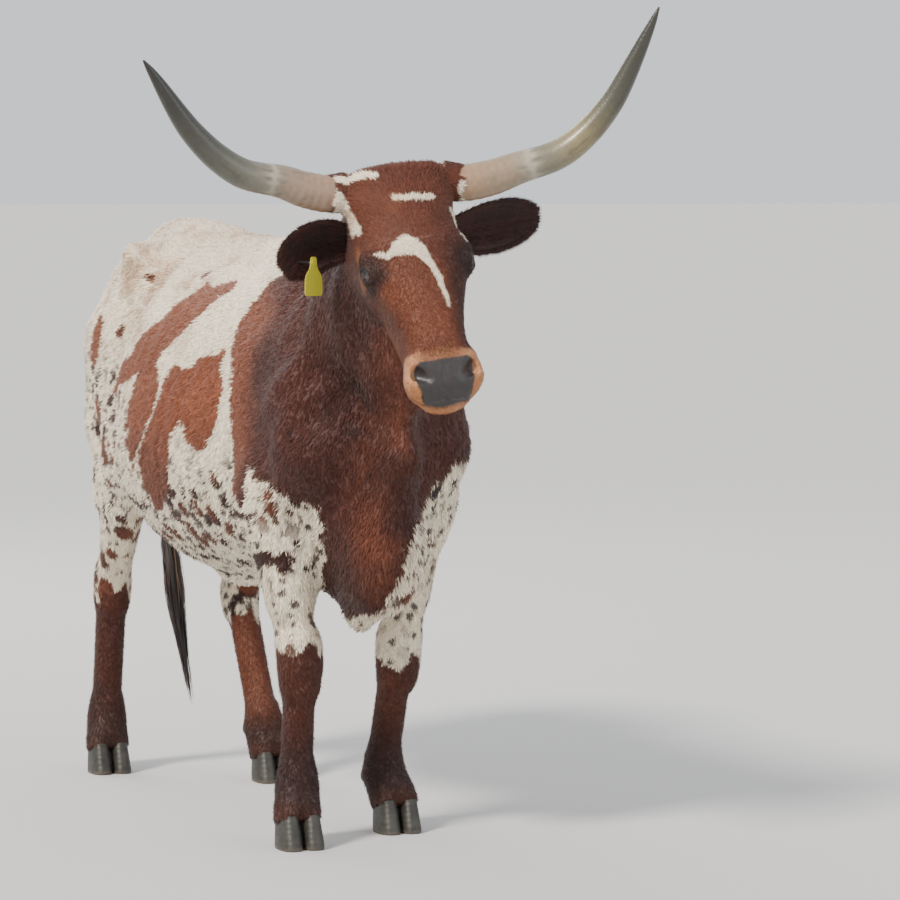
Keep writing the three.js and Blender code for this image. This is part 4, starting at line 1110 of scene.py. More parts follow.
def nose_colour(local, black):
    """Dark grey, with painted shade making the nostrils darker."""
    grey = black * (1.2 + 0.5 * noise(local, 0.006, 131)[..., None]) + 0.006
    # painted shade: the hollows of the nostrils darkened nearly to black
    inside = smoothstep(0.003, -0.002, np.minimum(NOSTRILS[0](local), NOSTRILS[1](local)))
    return mix(grey, black * 0.25, inside)


# Materials


def add_node(tree, kind, inputs):
    """A new node, its inputs set to values or linked from the outputs of other nodes."""
    node = tree.nodes.new(kind)
    for name, value in inputs.items():
        if isinstance(value, bpy.types.NodeSocket):
            tree.links.new(value, node.inputs[name])
        else:
            node.inputs[name].default_value = value
    return node


def attribute(tree, name):
    """A node that reads the vertices' own colours or numbers."""
    node = tree.nodes.new("ShaderNodeAttribute")
    node.attribute_name = name
    return node


def new_material(name):
    """A material with only its shader and output, to be linked further."""
    material = bpy.data.materials.new(name)
    material.use_nodes = True
    tree = material.node_tree
    tree.nodes.clear()
    shader = tree.nodes.new("ShaderNodeBsdfPrincipled")
    output = tree.nodes.new("ShaderNodeOutputMaterial")
    tree.links.new(shader.outputs["BSDF"], output.inputs["Surface"])
    return material, tree, shader


def set_inputs(shader, values):
    """Sets the shader's inputs to plain values by their names."""
    for name, value in values.items():
        shader.inputs[name].default_value = value


def bump_from(tree, shader, height, strength, distance):
    """Relief of the surface from a height."""
    inputs = {"Strength": strength, "Distance": distance, "Height": height}
    bump = add_node(tree, "ShaderNodeBump", inputs)
    tree.links.new(bump.outputs["Normal"], shader.inputs["Normal"])


def painted(name, roughness, scale, relief, variation, sheen=0.0, coat=0.0, specular=0.5):
    """A material coloured by the vertices' own colours, with fine variation and relief."""
    material, tree, shader = new_material(name)
    colour_of = attribute(tree, "paint").outputs["Color"]
    place = tree.nodes.new("ShaderNodeTexCoord").outputs["Object"]
    grain = add_node(tree, "ShaderNodeTexNoise", {"Vector": place, "Scale": scale, "Detail": 4})
    limits = {"Value": grain.outputs["Fac"], "To Min": 1 - variation, "To Max": 1 + variation}
    share = add_node(tree, "ShaderNodeMapRange", limits)
    tint = tree.nodes.new("ShaderNodeVectorMath")
    tint.operation = "SCALE"
    tree.links.new(colour_of, tint.inputs[0])
    tree.links.new(share.outputs["Result"], tint.inputs["Scale"])
    tree.links.new(tint.outputs["Vector"], shader.inputs["Base Color"])
    values = {"Roughness": roughness, "Specular IOR Level": specular, "Sheen Weight": sheen}
    set_inputs(shader, {**values, "Coat Weight": coat, "Coat Roughness": 0.12})
    if relief:
        bump_from(tree, shader, grain.outputs["Fac"], 0.6, relief)
    return material


def coat_material():
    """The material of all hair but the switch's, made once."""
    made = bpy.data.materials.get("coat")
    return made or painted("coat", 0.6, 900, 0.0, 0.12, sheen=0.03, specular=0.24)


def skin_material():
    """Hide under the coat, with the nose pad bare, pebbled and moist."""
    material, tree, shader = new_material("hide")
    colour_of = attribute(tree, "paint").outputs["Color"]
    bare = attribute(tree, "bare").outputs["Fac"]
    place = tree.nodes.new("ShaderNodeTexCoord").outputs["Object"]
    grain = add_node(tree, "ShaderNodeTexNoise", {"Vector": place, "Scale": 260, "Detail": 5})
    pebbles = add_node(tree, "ShaderNodeTexVoronoi", {"Vector": place, "Scale": 330})
    inputs = {"Factor": bare, "A": grain.outputs["Fac"], "B": pebbles.outputs["Distance"]}
    height = add_node(tree, "ShaderNodeMix", inputs)
    bump_from(tree, shader, height.outputs["Result"], 0.5, 0.0009)
    tree.links.new(colour_of, shader.inputs["Base Color"])
    rough = add_node(tree, "ShaderNodeMapRange", {"Value": bare, "To Min": 0.72, "To Max": 0.4})
    tree.links.new(rough.outputs["Result"], shader.inputs["Roughness"])
    set_inputs(shader, {"Sheen Weight": 0.05})
    return material


# Skin


SKIN_LOW = at(-400, -760, 40)
SKIN_HIGH = at(400, 1500, 1600)


def build_skin():
    """The skin down to the coronets, with the head's faces finer and its folds cut in."""

    def trimmed(p, fine=False):
        return np.maximum(skin(p, fine), coronet_distance(p))

    verts, quads = surface_nets(trimmed, SKIN_LOW, SKIN_HIGH, bpy.context.scene.longhorn.skin_cell)
    local = to_head(verts)
    face = (local[:, 2] < 0.06) & (local[:, 1] < 0.12) & (verts[:, 1] < -0.2) & (local[:, 2] > -0.62)
    face &= np.abs(local[:, 0]) < 0.16
    verts, faces = refine_head(verts, quads, face)
    local = to_head(verts)
    near = (local[:, 1] < 0.16) & (verts[:, 1] < -0.2) & (local[:, 2] < 0.08)
    verts[near] = settle(lambda p: trimmed(p, True), verts[near], 0.002, 4)
    return verts, faces


def refine_head(verts, quads, face):
    """Finer faces on the head, and finer again round the eyes, nostrils and mouth."""
    bm = bmesh.new()
    made = [bm.verts.new(v) for v in verts]
    for q in quads.tolist():
        bm.faces.new([made[i] for i in q])
    bm.verts.index_update()
    chosen = [e for e in bm.edges if face[e.verts[0].index] and face[e.verts[1].index]]
    bmesh.ops.subdivide_edges(bm, edges=chosen, cuts=1, use_grid_fill=True)
    eyes = [on_head(*(eye_place(s) / MM)) for s in (-1, 1)]
    spots = [(eye, 0.062) for eye in eyes] + [(on_head(0, -10, -530), 0.105)]
    for places in (spots, [(eye, 0.062 * 0.72) for eye in eyes]):
        edges = []
        for place, near in places:
            centre = Vector(place)
            edges += [e for e in bm.edges if all((v.co - centre).length < near for v in e.verts)]
        bmesh.ops.subdivide_edges(bm, edges=list(set(edges)), cuts=1, use_grid_fill=True)
    bmesh.ops.triangulate(bm, faces=[f for f in bm.faces if len(f.verts) > 4])
    return take_out(bm)


def take_out(bm):
    """The vertices and faces of an edited mesh, which is freed."""
    bm.verts.index_update()
    verts = np.array([v.co[:] for v in bm.verts])
    faces = [[v.index for v in f.verts] for f in bm.faces]
    bm.free()
    return verts, faces


def coronet_distance(p):
    """How far below the coronets, where the claws take over, a point lies."""
    best = np.full(p.shape[:-1], -1.0)
    for leg in LEGS.values():
        foot = leg["foot"]
        near = np.hypot(p[..., 0] - foot[0], p[..., 1] - foot[1]) < 0.14
        plane = (CORONET_HEIGHT - 12) * MM - 0.3 * (p[..., 1] - foot[1]) - p[..., 2]
        best = np.where(near, np.maximum(best, plane), best)
    return best


# Ears: leaves with a cupped front, rolled into tubes at their roots

# Rows of [share of the length in hundredths, half width, depth of the cup, thickness]
EAR_ROWS = [
    [0, 27, 22, 16], [16, 36, 27, 12], [34, 49, 27, 8], [55, 55, 22, 6], [76, 49, 14, 5], [92, 31, 6, 4],
    [100, 11, 2, 3],
]
EAR_SECTION = through(EAR_ROWS)
EAR_FACE = unit(np.array([0, -0.93, -0.36]))


def ear_spine(s, count):
    """The middle line of an ear, raised and swept apart for the two sides, and its directions."""
    shares = np.array([0, 0.18, 0.48, 0.76, 1])
    spread = EAR_LENGTH + 30 * s
    sweep = 26 * shares if s > 0 else -40 * shares
    droop = 12 * shares if s > 0 else 28 * np.sin(2.6 * shares) - 44 * shares**2
    points = np.stack([(84 + shares * spread) * s, 46 + sweep, -142 + droop], 1)
    return spline(on_level(points), count)


EAR_STATIONS = 200


def ear_leaf(s, t, u, lift):
    """Places on the leaf at shares t of its length and u of its width, and the ways out, across and along."""
    spine, ways = ear_spine(s, EAR_STATIONS)
    stations = np.linspace(0, 1, EAR_STATIONS)
    centre = np.stack([np.interp(t, stations, spine[:, k]) for k in range(3)], -1)
    along = unit(np.stack([np.interp(t, stations, ways[:, k]) for k in range(3)], -1))
    half, cup, thick = np.moveaxis(EAR_SECTION(100 * t) * MM, -1, 0)
    wide = unit(np.cross(LEVEL @ EAR_FACE, along)) * s
    face = unit(np.cross(along, wide)) * s
    ripple = 0.0012 * np.sin(5 * math.pi * u) * (1 - np.abs(u))
    out = cup * (u * u - 0.5) + lift * (thick / 2 - 0.001) * (1 - u**4) + ripple
    return centre + wide * (u * half)[..., None] + face * out[..., None], face, wide, along


def ear_rings(s, count=60, across=27):
    """Rings of the leaf: its back from edge to edge, then its front back again."""
    t = np.repeat(np.linspace(0, 1, count)[:, None], across, 1)
    u = np.repeat(np.linspace(-1, 1, across)[None, :], count, 0)
    outside = ear_leaf(s, t, u, -np.ones_like(t))[0]
    inside = ear_leaf(s, t, u, np.ones_like(t))[0][:, -2:0:-1]
    rings = np.concatenate([outside, inside], 1)
    return rings if s > 0 else rings[:, ::-1]


def loft(rings):
    """Vertices and faces over rings of the same count of points, closed at both ends."""
    count, sides = rings.shape[:2]
    r = np.arange(count - 1)[:, None] * sides
    a = np.arange(sides)[None, :]
    b = (a + 1) % sides
    faces = np.stack([r + a, r + b, r + b + sides, r + a + sides], -1).reshape(-1, 4).tolist()
    verts = np.vstack([rings.reshape(-1, 3), rings[0].mean(0), rings[-1].mean(0)])
    hub = count * sides
    for s in range(sides):
        faces.append([hub, (s + 1) % sides, s])
    for s in range(sides):
        faces.append([hub + 1, hub - sides + s, hub - sides + (s + 1) % sides])
    return verts, faces


def rod(points, radii, count, sides):
    """Rings round a curve, with the radius at each share of its length."""
    places, along = spline(points, count)
    deep = unit(np.cross(along, LEFT))
    wide = np.cross(deep, along)
    angle = np.linspace(0, math.tau, sides, endpoint=False)
    reach = radii(np.linspace(0, 1, count))[:, None, None]
    ring = np.cos(angle)[None, :, None] * wide[:, None] + np.sin(angle)[None, :, None] * deep[:, None]
    return places[:, None] + ring * reach


# Coat: flat tufts that follow the lie of the hair


def hair_lie(p, normal):
    """The way the hair lies on the body at each place."""
    x, y, z = p[..., 0], p[..., 1], p[..., 2]
    local = to_head(p)
    way = np.stack([0.10 * x, np.full_like(x, 0.86), -0.30 - 0.35 * smoothstep(1.3, 0.8, z)], -1)
    chest = smoothstep(0.0, -0.2, y)[..., None]
    way = lerp(way, np.stack([0.2 * np.sign(x), 0.35 + 0 * y, -0.9 + 0 * z], -1), chest)
    legs = smoothstep(0.72, 0.56, z)[..., None] * (np.abs(x) > 0.07)[..., None]
    way = lerp(way, np.array([0, 0.16, -1]), legs)
    rump = smoothstep(1.18, 1.32, y)[..., None]
    way = lerp(way, np.array([0, 0.2, -1]), rump)
    # on the face the hair runs from the whorl between the eyes, up to the poll and down to the nose
    head = (smoothstep(-0.26, -0.36, y) * smoothstep(0.15, 0.1, local[..., 1]))[..., None]
    whorl = local - at(0, -80, -190)
    upward = smoothstep(-0.02, 0.02, whorl[..., 2])
    face = np.stack([whorl[..., 0] * 5, 0.25 + 0 * x, lerp(-1.0, 1.0, upward)], -1)
    face[..., 1] += 0.6 * smoothstep(0.02, 0.07, np.abs(local[..., 0]))
    way = lerp(way, unit(face) @ HEAD.T, head)
    swirl = np.stack([noise(p, 0.05, 141 + k) for k in range(3)], -1)
    way = way + 0.22 * swirl
    way = way - normal * (way * normal).sum(-1, keepdims=True)
    return unit(way)


# Mean length of the trunk's hair, in metres
HAIR_LENGTH = 0.0145


def hair_length(p):
    """Length of the hair in metres."""
    local = to_head(p)
    y, z = p[..., 1], p[..., 2]
    length = HAIR_LENGTH + 0.0025 * noise(p, 0.09, 151)
    length = length + 0.005 * smoothstep(0.05, -0.2, y) * smoothstep(0.9, 0.7, z)
    legs = smoothstep(0.7, 0.45, z) * (np.abs(p[..., 0]) > 0.07)
    length = lerp(length, 0.0105, legs)
    head = smoothstep(-0.28, -0.38, y) * smoothstep(0.16, 0.1, local[..., 1])
    face = lerp(0.0115, 0.0065, smoothstep(-0.06, -0.22, local[..., 2]))
    face = lerp(face, 0.0035, smoothstep(-0.42, -0.47, local[..., 2]))
    length = lerp(length, face, head)
    poll = smoothstep(0.06, 0.02, np.abs(local[..., 2])) * smoothstep(0.12, 0.07, np.abs(local[..., 0]))
    return length + 0.005 * poll * head


def unwrap(p):
    """Where a place of the body lies on a flat chart of it, by part and by turn about that part."""
    x, y, z = p[..., 0], p[..., 1], p[..., 2]
    local = to_head(p)

    def chart(low_u, high_u, low_v, high_v, turn_share, along):
        return np.stack([lerp(low_u, high_u, turn_share), lerp(low_v, high_v, np.clip(along, 0, 1))], -1)

    body = chart(0.02, 0.58, 0.02, 0.62, np.arctan2(x, 0.98 - z) / math.tau + 0.5, (y + 0.5) / 2.0)
    round_head = np.arctan2(local[..., 0], -local[..., 1]) / math.tau + 0.5
    head = chart(0.62, 0.98, 0.64, 0.98, round_head, (local[..., 2] + 0.6) / 0.7)
    uv = np.where(((local[..., 1] < 0.13) & (y < -0.22))[..., None], head, body)
    for i, leg in enumerate(LEGS.values()):
        share = np.clip((0.66 - z) / 0.6, 0, 1)
        centre = lerp(leg["top"][:2], leg["foot"][:2] + at(0, 20, 0)[:2], share[..., None])
        round_leg = np.arctan2(x - centre[..., 0], y - centre[..., 1]) / math.tau + 0.5
        part = chart(0.62 + 0.09 * i, 0.69 + 0.09 * i, 0.02, 0.6, round_leg, z / 0.7)
        mine = (z < 0.66) & (np.hypot(x - centre[..., 0], y - centre[..., 1]) < 0.16)
        uv = np.where(mine[..., None], part, uv)
    return uv


def scatter(verts, faces, wanted, weight, seed):
    """Random places on triangles, as many as wanted, with the surface's normal at each."""
    rng = np.random.default_rng(seed)
    tris = []
    for f in faces:
        tris.append([f[0], f[1], f[2]])
        if len(f) == 4:
            tris.append([f[0], f[2], f[3]])
    tris = np.array(tris)
    a, b, c = (verts[tris[:, k]] for k in range(3))
    cross = np.cross(b - a, c - a)
    area = np.linalg.norm(cross, axis=1) / 2
    share = area * weight((a + b + c) / 3)
    normal = np.zeros_like(verts)
    for k in range(3):
        np.add.at(normal, tris[:, k], cross)
    normal = unit(normal)
    pick = np.searchsorted(np.cumsum(share), rng.random(wanted) * share.sum())
    pick = np.clip(pick, 0, len(tris) - 1)
    r, s = rng.random((2, wanted, 1))
    flip = r + s > 1
    r, s = np.where(flip, 1 - r, r), np.where(flip, 1 - s, s)
    points = a[pick] + (b[pick] - a[pick]) * r + (c[pick] - a[pick]) * s
    corners = tris[pick]
    normals = normal[corners[:, 0]] * (1 - r - s) + normal[corners[:, 1]] * r + normal[corners[:, 2]] * s
    return points, unit(normals), rng


# How deep the tufts are rooted, in metres, and waves over the body that turn some to one side
ROOT_DEPTH = 0.0012
LEAN_WAVES = np.array([911.0, 733.0, 577.0])


def tuft_mesh(name, roots, normals, ways, lengths, widths, lifts, colours, uvs, curl, material):
    """Tufts of three faces each: a root edge, a middle edge and a tip."""
    across = unit(np.cross(ways, normals))
    side = across * widths[:, None]
    lean = np.sign(np.sin(roots @ LEAN_WAVES))[:, None]
    soft = unit(normals + 0.25 * ways + 0.3 * across * lean)
    mid = roots + ways * lengths[:, None] * 0.5 + normals * lifts[:, None]
    bend = across * curl
    tip = roots + ways * lengths[:, None] + normals * lifts[:, None] * 0.9 + bend
    base = roots - normals * ROOT_DEPTH
    left, right = mid - side * 0.42 + bend * 0.3, mid + side * 0.42 + bend * 0.3
    verts = np.stack([base - side * 0.5, base + side * 0.5, left, right, tip], 1)
    start = np.arange(len(roots))[:, None] * 5
    faces = np.stack([start + [0, 1, 3], start + [0, 3, 2], start + [2, 3, 4]], 1).reshape(-1, 3)
    # painted shade and light: each tuft darker at its root, deep in the coat, and lighter at its tip
    tint = np.stack([colours * 0.78, colours * 0.78, colours, colours, colours * 1.08], 1)
    obj = mesh_object(name, verts.reshape(-1, 3), faces, material, paint=tint.reshape(-1, 3))
    obj.data.normals_split_custom_set_from_vertices(np.repeat(soft, 5, 0).astype(np.float32))
    spread = 0.0015 * np.array([[-1, -1], [1, -1], [-0.8, 0.2], [0.8, 0.2], [0, 1]])
    bake_map(obj, (uvs[:, None] + spread[None]).reshape(-1, 2))
    return obj


# Settings


class LonghornSettings(bpy.types.PropertyGroup):
    skin_cell: bpy.props.FloatProperty(
        name="Skin cell", description="Size of the skin's faces", default=0.012, min=0.006, unit="LENGTH"
    )
    tufts: bpy.props.IntProperty(
        name="Tufts", description="Count of the coat's short tufts", default=420000, min=1000
    )
    tuft_width: bpy.props.FloatProperty(
        name="Tuft width", description="Width of a tuft on the trunk", default=0.0027, unit="LENGTH"
    )
    cream: bpy.props.FloatVectorProperty(
        name="Cream", description="Colour of the white coat", subtype="COLOR", default=(0.86, 0.75, 0.58)
    )
    red: bpy.props.FloatVectorProperty(
        name="Red", description="Colour of the red patches", subtype="COLOR", default=(0.21, 0.061, 0.026)
    )
    mahogany: bpy.props.FloatVectorProperty(
        name="Mahogany",
        description="Colour of the neck and shoulders",
        subtype="COLOR",
        default=(0.062, 0.0185, 0.0125),
    )
    black: bpy.props.FloatVectorProperty(
        name="Black",
        description="Colour of the darkest points",
        subtype="COLOR",
        default=(0.014, 0.0105, 0.0105),
    )
    tan: bpy.props.FloatVectorProperty(
        name="Tan", description="Colour of the muzzle's ring", subtype="COLOR", default=(0.46, 0.19, 0.075)
    )
    roan: bpy.props.FloatVectorProperty(
        name="Roan",
        description="Colour of the back's faint mottling",
        subtype="COLOR",
        default=(0.52, 0.34, 0.21),
    )
    floor: bpy.props.FloatVectorProperty(
        name="Floor", description="Colour of the floor", subtype="COLOR", default=(0.56, 0.555, 0.545)
    )


# Operators

FLESH = ["torso", "neck", "head", "ear_right", "ear_left", "tail"] + [
    f"{name}_{part}" for name in STANCE for part in ("upper", "lower")
]


# The most tufts in one piece of the coat
PIECE_TUFTS = 66000


class LONGHORN_OT_skin(bpy.types.Operator):
    """Build the skin and its short coat"""

    bl_idname = "longhorn.skin"
    bl_label = "Build skin and coat"

    def execute(self, context):
        settings = context.scene.longhorn
        verts, faces = build_skin()
        if len(verts) < 1000:
            raise RuntimeError("the skin came out empty")
        x, y, z = verts.T
        hips = smoothstep(0.06, 0.1, np.abs(x)) * smoothstep(0.86, 0.92, y) * smoothstep(1.24, 1.18, y)
        verts = relax(verts, faces, hips * smoothstep(1.1, 1.16, z), 8)
        verts, faces = merge([(verts, faces), loft(tail_rings())])
        all_verts, all_faces = merge([(verts, faces), loft(ear_rings(-1)), loft(ear_rings(1))])
        local = to_head(all_verts)
        paints = coat_colour(all_verts)
        ears = np.arange(len(all_verts)) >= len(verts)
        paints[ears] = ear_colour(all_verts[ears])
        inner = lid_rim(local)
        bare = np.maximum(nose_pad(local) * (all_verts[:, 1] < -0.3), inner)
        paints = mix(paints, colour("black"), inner)
        hide = mesh_object("hide", all_verts, all_faces, skin_material(), paint=paints, bare=bare)
        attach(hide, "root")
        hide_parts(*FLESH)

        wanted = settings.tufts // 1
        points, normals, rng = scatter(verts, faces, wanted, tuft_density, 7)
        local = to_head(points)
        keep = (nose_pad(local) < 0.4) | (points[:, 1] > -0.3)
        keep &= lid_rim(local) < 0.3
        points, normals = points[keep], normals[keep]
        lengths = hair_length(points) * rng.uniform(0.75, 1.25, len(points))
        ways = hair_lie(points, normals)
        ways = unit(ways + 0.16 * rng.normal(size=ways.shape))
        scale = np.clip(lengths / HAIR_LENGTH, 0.45, 1.1)
        widths = settings.tuft_width * scale * rng.uniform(0.7, 1.2, len(points))
        lifts = (0.0007 + 0.075 * lengths) * rng.uniform(0.6, 1.5, len(points))
        tone = (1 + 0.13 * rng.normal(size=(len(points), 1))).clip(0.6, 1.4)
        paints = coat_colour(points) * tone
        curl = lengths[:, None] * 0.16 * rng.normal(size=(len(points), 1))
        material = coat_material()
        for s, side in ((-1, "right"), (1, "left")):
            obj = tuft_mesh(f"ear_coat_{side}", *ear_tufts(s, rng), material)
            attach(obj, "root")
        uvs = unwrap(points)
        for i, start in enumerate(range(0, len(points), PIECE_TUFTS)):
            part = slice(start, start + PIECE_TUFTS)
            obj = tuft_mesh(
                f"coat_{i + 1}", points[part], normals[part], ways[part], lengths[part], widths[part],
                lifts[part], paints[part], uvs[part], curl[part], material,
            )
            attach(obj, "root")
        return {"FINISHED"}


def ear_tufts(s, rng):
    """Short hair over both faces of an ear, long hair inside it and a fringe along its edges."""
    count = 16000
    t = rng.uniform(0.12, 0.995, count)
    u = rng.uniform(-1, 1, count)
    front = rng.random(count) < 0.5
    fringe = rng.random(count) < 0.26
    u = np.where(fringe, np.sign(u) * rng.uniform(0.9, 1.0, count), u)
    roots, face, wide, along = ear_leaf(s, t, u, np.where(front, 1.0, -1.0))
    normals = face * np.where(front, 1.0, -1.0)[:, None]
    ways = along + wide * (u * np.where(fringe, 0.9, 0.35))[:, None]
    ways = ways + UP * np.where(fringe, -0.35, -0.05)[:, None]
    ways = unit(ways + 0.2 * rng.normal(size=ways.shape))
    ways = np.where(fringe[:, None], ways, unit(ways - normals * (ways * normals).sum(-1, keepdims=True)))
    inner = front & (np.abs(u) < 0.75)
    lengths = np.where(fringe, 0.015, np.where(inner, 0.014, 0.008)) * rng.uniform(0.7, 1.3, count)
    widths = np.where(fringe, 0.0013, 0.0015) * rng.uniform(0.7, 1.2, count)
    lifts = np.where(inner, 0.003, 0.0011) * rng.uniform(0.6, 1.4, count)
    tone = (1 + 0.16 * rng.normal(size=(count, 1))).clip(0.55, 1.5)
    colours = ear_colour(roots) * tone
    uvs = np.stack([0.06 + 0.2 * t + (0.25 if s > 0 else 0.0), 0.66 + 0.08 * (u + 1) + 0.16 * front], -1)
    curl = lengths[:, None] * 0.15 * rng.normal(size=(count, 1))
    return roots, normals, ways, lengths, widths, lifts, colours, uvs, curl


def lid_rim(local):
    """One on the bare rims of the lids and inside the eye's opening."""
    best = np.zeros(local.shape[:-1])
    for s in (-1, 1):
        outside, away, out, _ = lid_distance(local, s)
        rim = smoothstep(0.004, 0.0015, outside) * (away < 0.045) * (out > 0)
        best = np.maximum(best, rim)
    return best


def tuft_density(p):
    """How thickly the tufts stand, with one for the trunk."""
    local = to_head(p)
    head = smoothstep(-0.26, -0.36, p[..., 1]) * smoothstep(0.16, 0.1, local[..., 1])
    legs = smoothstep(0.7, 0.45, p[..., 2]) * (np.abs(p[..., 0]) > 0.07)
    return 1 + 3.2 * head + 1.1 * legs


def ear_colour(p):
    """Near black, with a little mahogany."""
    dark = colour("mahogany") * np.ones(p.shape)
    return mix(dark * 0.8, colour("black"), 0.4 + 0.4 * noise(p, 0.02, 161))


def eye_colour(flat):
    """A wide dark pupil in a brown iris, dark at its edge, with the white round it and behind."""
    front = flat[:, 2] > 0
    pupil = np.hypot(flat[:, 0] / 0.34, flat[:, 1] / 0.17)
    away = np.hypot(flat[:, 0], flat[:, 1])
    turned = np.arctan2(flat[:, 1], flat[:, 0]) * 3
    streak = 0.5 + 0.5 * noise(np.stack([turned, away, 0 * away], 1), 0.2, 171)
    iris = np.array([0.05, 0.022, 0.01]) * (0.5 + streak[:, None])
    paints = mix(iris, np.array([0.004, 0.003, 0.003]), smoothstep(1.1, 0.9, pupil))
    paints = mix(paints, np.array([0.42, 0.33, 0.28]), smoothstep(0.66, 0.74, away) * front + ~front)
    return mix(paints, np.array([0.006, 0.004, 0.004]), bell(away, 0.66, 0.05) * front)


class LONGHORN_OT_eyes(bpy.types.Operator):
    """Build the eyes"""

    bl_idname = "longhorn.eyes"
    bl_label = "Build eyes"

    def execute(self, context):
        material = painted("eye", 0.06, 400, 0.0, 0.1, coat=1.0)
        for s, name in ((-1, "eye_right"), (1, "eye_left")):
            tilt = np.linspace(0.02, math.pi - 0.02, 40)[:, None]
            angle = np.linspace(0, math.tau, 64, endpoint=False)[None, :]
            out = np.sin(tilt)
            globe = np.stack([out * np.cos(angle), out * np.sin(angle), -np.cos(tilt) + 0 * angle], -1)
            middle = np.exp(-((np.hypot(globe[..., 0], globe[..., 1]) / 0.5) ** 2)) * (globe[..., 2] > 0)
            shape = globe * (EYE_RADIUS - 0.2) * MM * (1 + 0.05 * middle)[..., None]
            verts, faces = loft(shape @ eye_frame(s))
            flat = np.vstack([globe.reshape(-1, 3), [[0, 0, -1], [0, 0, 1]]])
            centre = HEAD_PLACE + HEAD @ eye_place(s)
            verts = centre + verts @ HEAD.T
            obj = mesh_object(name + "_ball", verts, faces, material, paint=eye_colour(flat))
            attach(obj, "root")
            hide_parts(name)
        return {"FINISHED"}


# Rows of [share of the reach, forward, share of the rise]
HORN_ROWS = [
    (-0.065, -4, -0.065), (0.045, 3, -0.077), (0.18, 7, -0.036), (0.3, 14, 0.024), (0.495, 30, 0.095),
    (0.636, 46, 0.22), (0.75, 66, 0.378), (0.83, 84, 0.53), (0.94, 112, 0.78), (1, 128, 0.91),
]
# From rows of [share of the length in hundredths, radius]
HORN_ROOT_ROWS = [[0, HORN_BASE_RADIUS], [15, HORN_BASE_RADIUS - 1]]
HORN_RADIUS = through(HORN_ROOT_ROWS + [[30, 35], [50, 31], [70, 25], [85, 17], [95, 9], [100, 2.5]])
HORN_STATIONS = 220
HORN_SIDES = 48


def horn_radii(t):
    """The sheath's radius, just under the solid's, with low rings near the root."""
    base = HORN_RADIUS(100 * t)[..., 0]
    rings = 0.5 * np.sin(t * 210) * smoothstep(0.34, 0.05, t) * smoothstep(0.0, 0.05, t)
    return (base + rings - 0.4) * MM


class LONGHORN_OT_horns(bpy.types.Operator):
    """Build the horns"""

    bl_idname = "longhorn.horns"
    bl_label = "Build horns"

    def execute(self, context):
        material = painted("horn", 0.36, 160, 0.0012, 0.12, coat=0.15)
        for s, name in ((-1, "horn_right"), (1, "horn_left")):
            out, forward, up = np.array(HORN_ROWS).T
            sag = HORN_SAG[s] * np.sin(math.pi * np.arange(len(out)) / (len(out) - 1))
            x = s * (HORN_ROOT + HORN_REACH[s] * out)
            spine = np.stack([x, -forward, HORN_RISE[s] * up - sag], 1)
            rings = rod(on_level(spine), horn_radii, HORN_STATIONS, HORN_SIDES)
            verts, faces = loft(rings)
            share = np.repeat(np.linspace(0, 1, HORN_STATIONS), HORN_SIDES)
            angle = np.tile(np.linspace(0, math.tau, HORN_SIDES, endpoint=False), HORN_STATIONS)
            share, angle = np.append(share, [0, 1]), np.append(angle, [0, 0])
            paints = horn_colour(verts, share, angle, s)
            obj = mesh_object(name + "_sheath", verts, faces, material, paint=paints)
            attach(obj, "root")
            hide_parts(name)
            obj = tuft_mesh(f"{name}_root_hair", *horn_root_tufts(rings, s), coat_material())
            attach(obj, "root")
        return {"FINISHED"}


def horn_root_tufts(rings, s):
    """Hair growing from the head out over the root of a horn."""
    rng = np.random.default_rng(23 + s)
    wanted = 5200
    angle = rng.uniform(0, math.tau, wanted)
    edge = 0.056 + 0.01 * np.sin(angle * 2 + s) + 0.008 * np.sin(angle * 5)
    share = edge * rng.uniform(0, 1, wanted) ** 0.8
    row = share * (len(rings) - 1)
    low = row.astype(int)
    spot = (angle / math.tau * rings.shape[1]).astype(int) % rings.shape[1]
    roots = mix(rings[low, spot], rings[low + 1, spot], row - low)
    centre = mix(rings[low].mean(1), rings[low + 1].mean(1), row - low)
    normals = unit(roots - centre)
    ways = unit(rings[low + 6].mean(1) - rings[low].mean(1))
    ways = unit(ways + 0.2 * rng.normal(size=ways.shape))
    ways = unit(ways - normals * (ways * normals).sum(-1, keepdims=True))
    lengths = 0.0125 * rng.uniform(0.7, 1.3, wanted)
    widths = 0.0017 * rng.uniform(0.7, 1.2, wanted)
    lifts = 0.0014 * rng.uniform(0.5, 1.6, wanted)
    tone = (1 + 0.13 * rng.normal(size=(wanted, 1))).clip(0.6, 1.4)
    uvs = np.stack([0.6 + 0.1 * angle / math.tau + (0.15 if s > 0 else 0.0), 0.9 + share], -1)
    curl = lengths[:, None] * 0.16 * rng.normal(size=(wanted, 1))
    return roots, normals, ways, lengths, widths, lifts, coat_colour(roots) * tone, uvs, curl


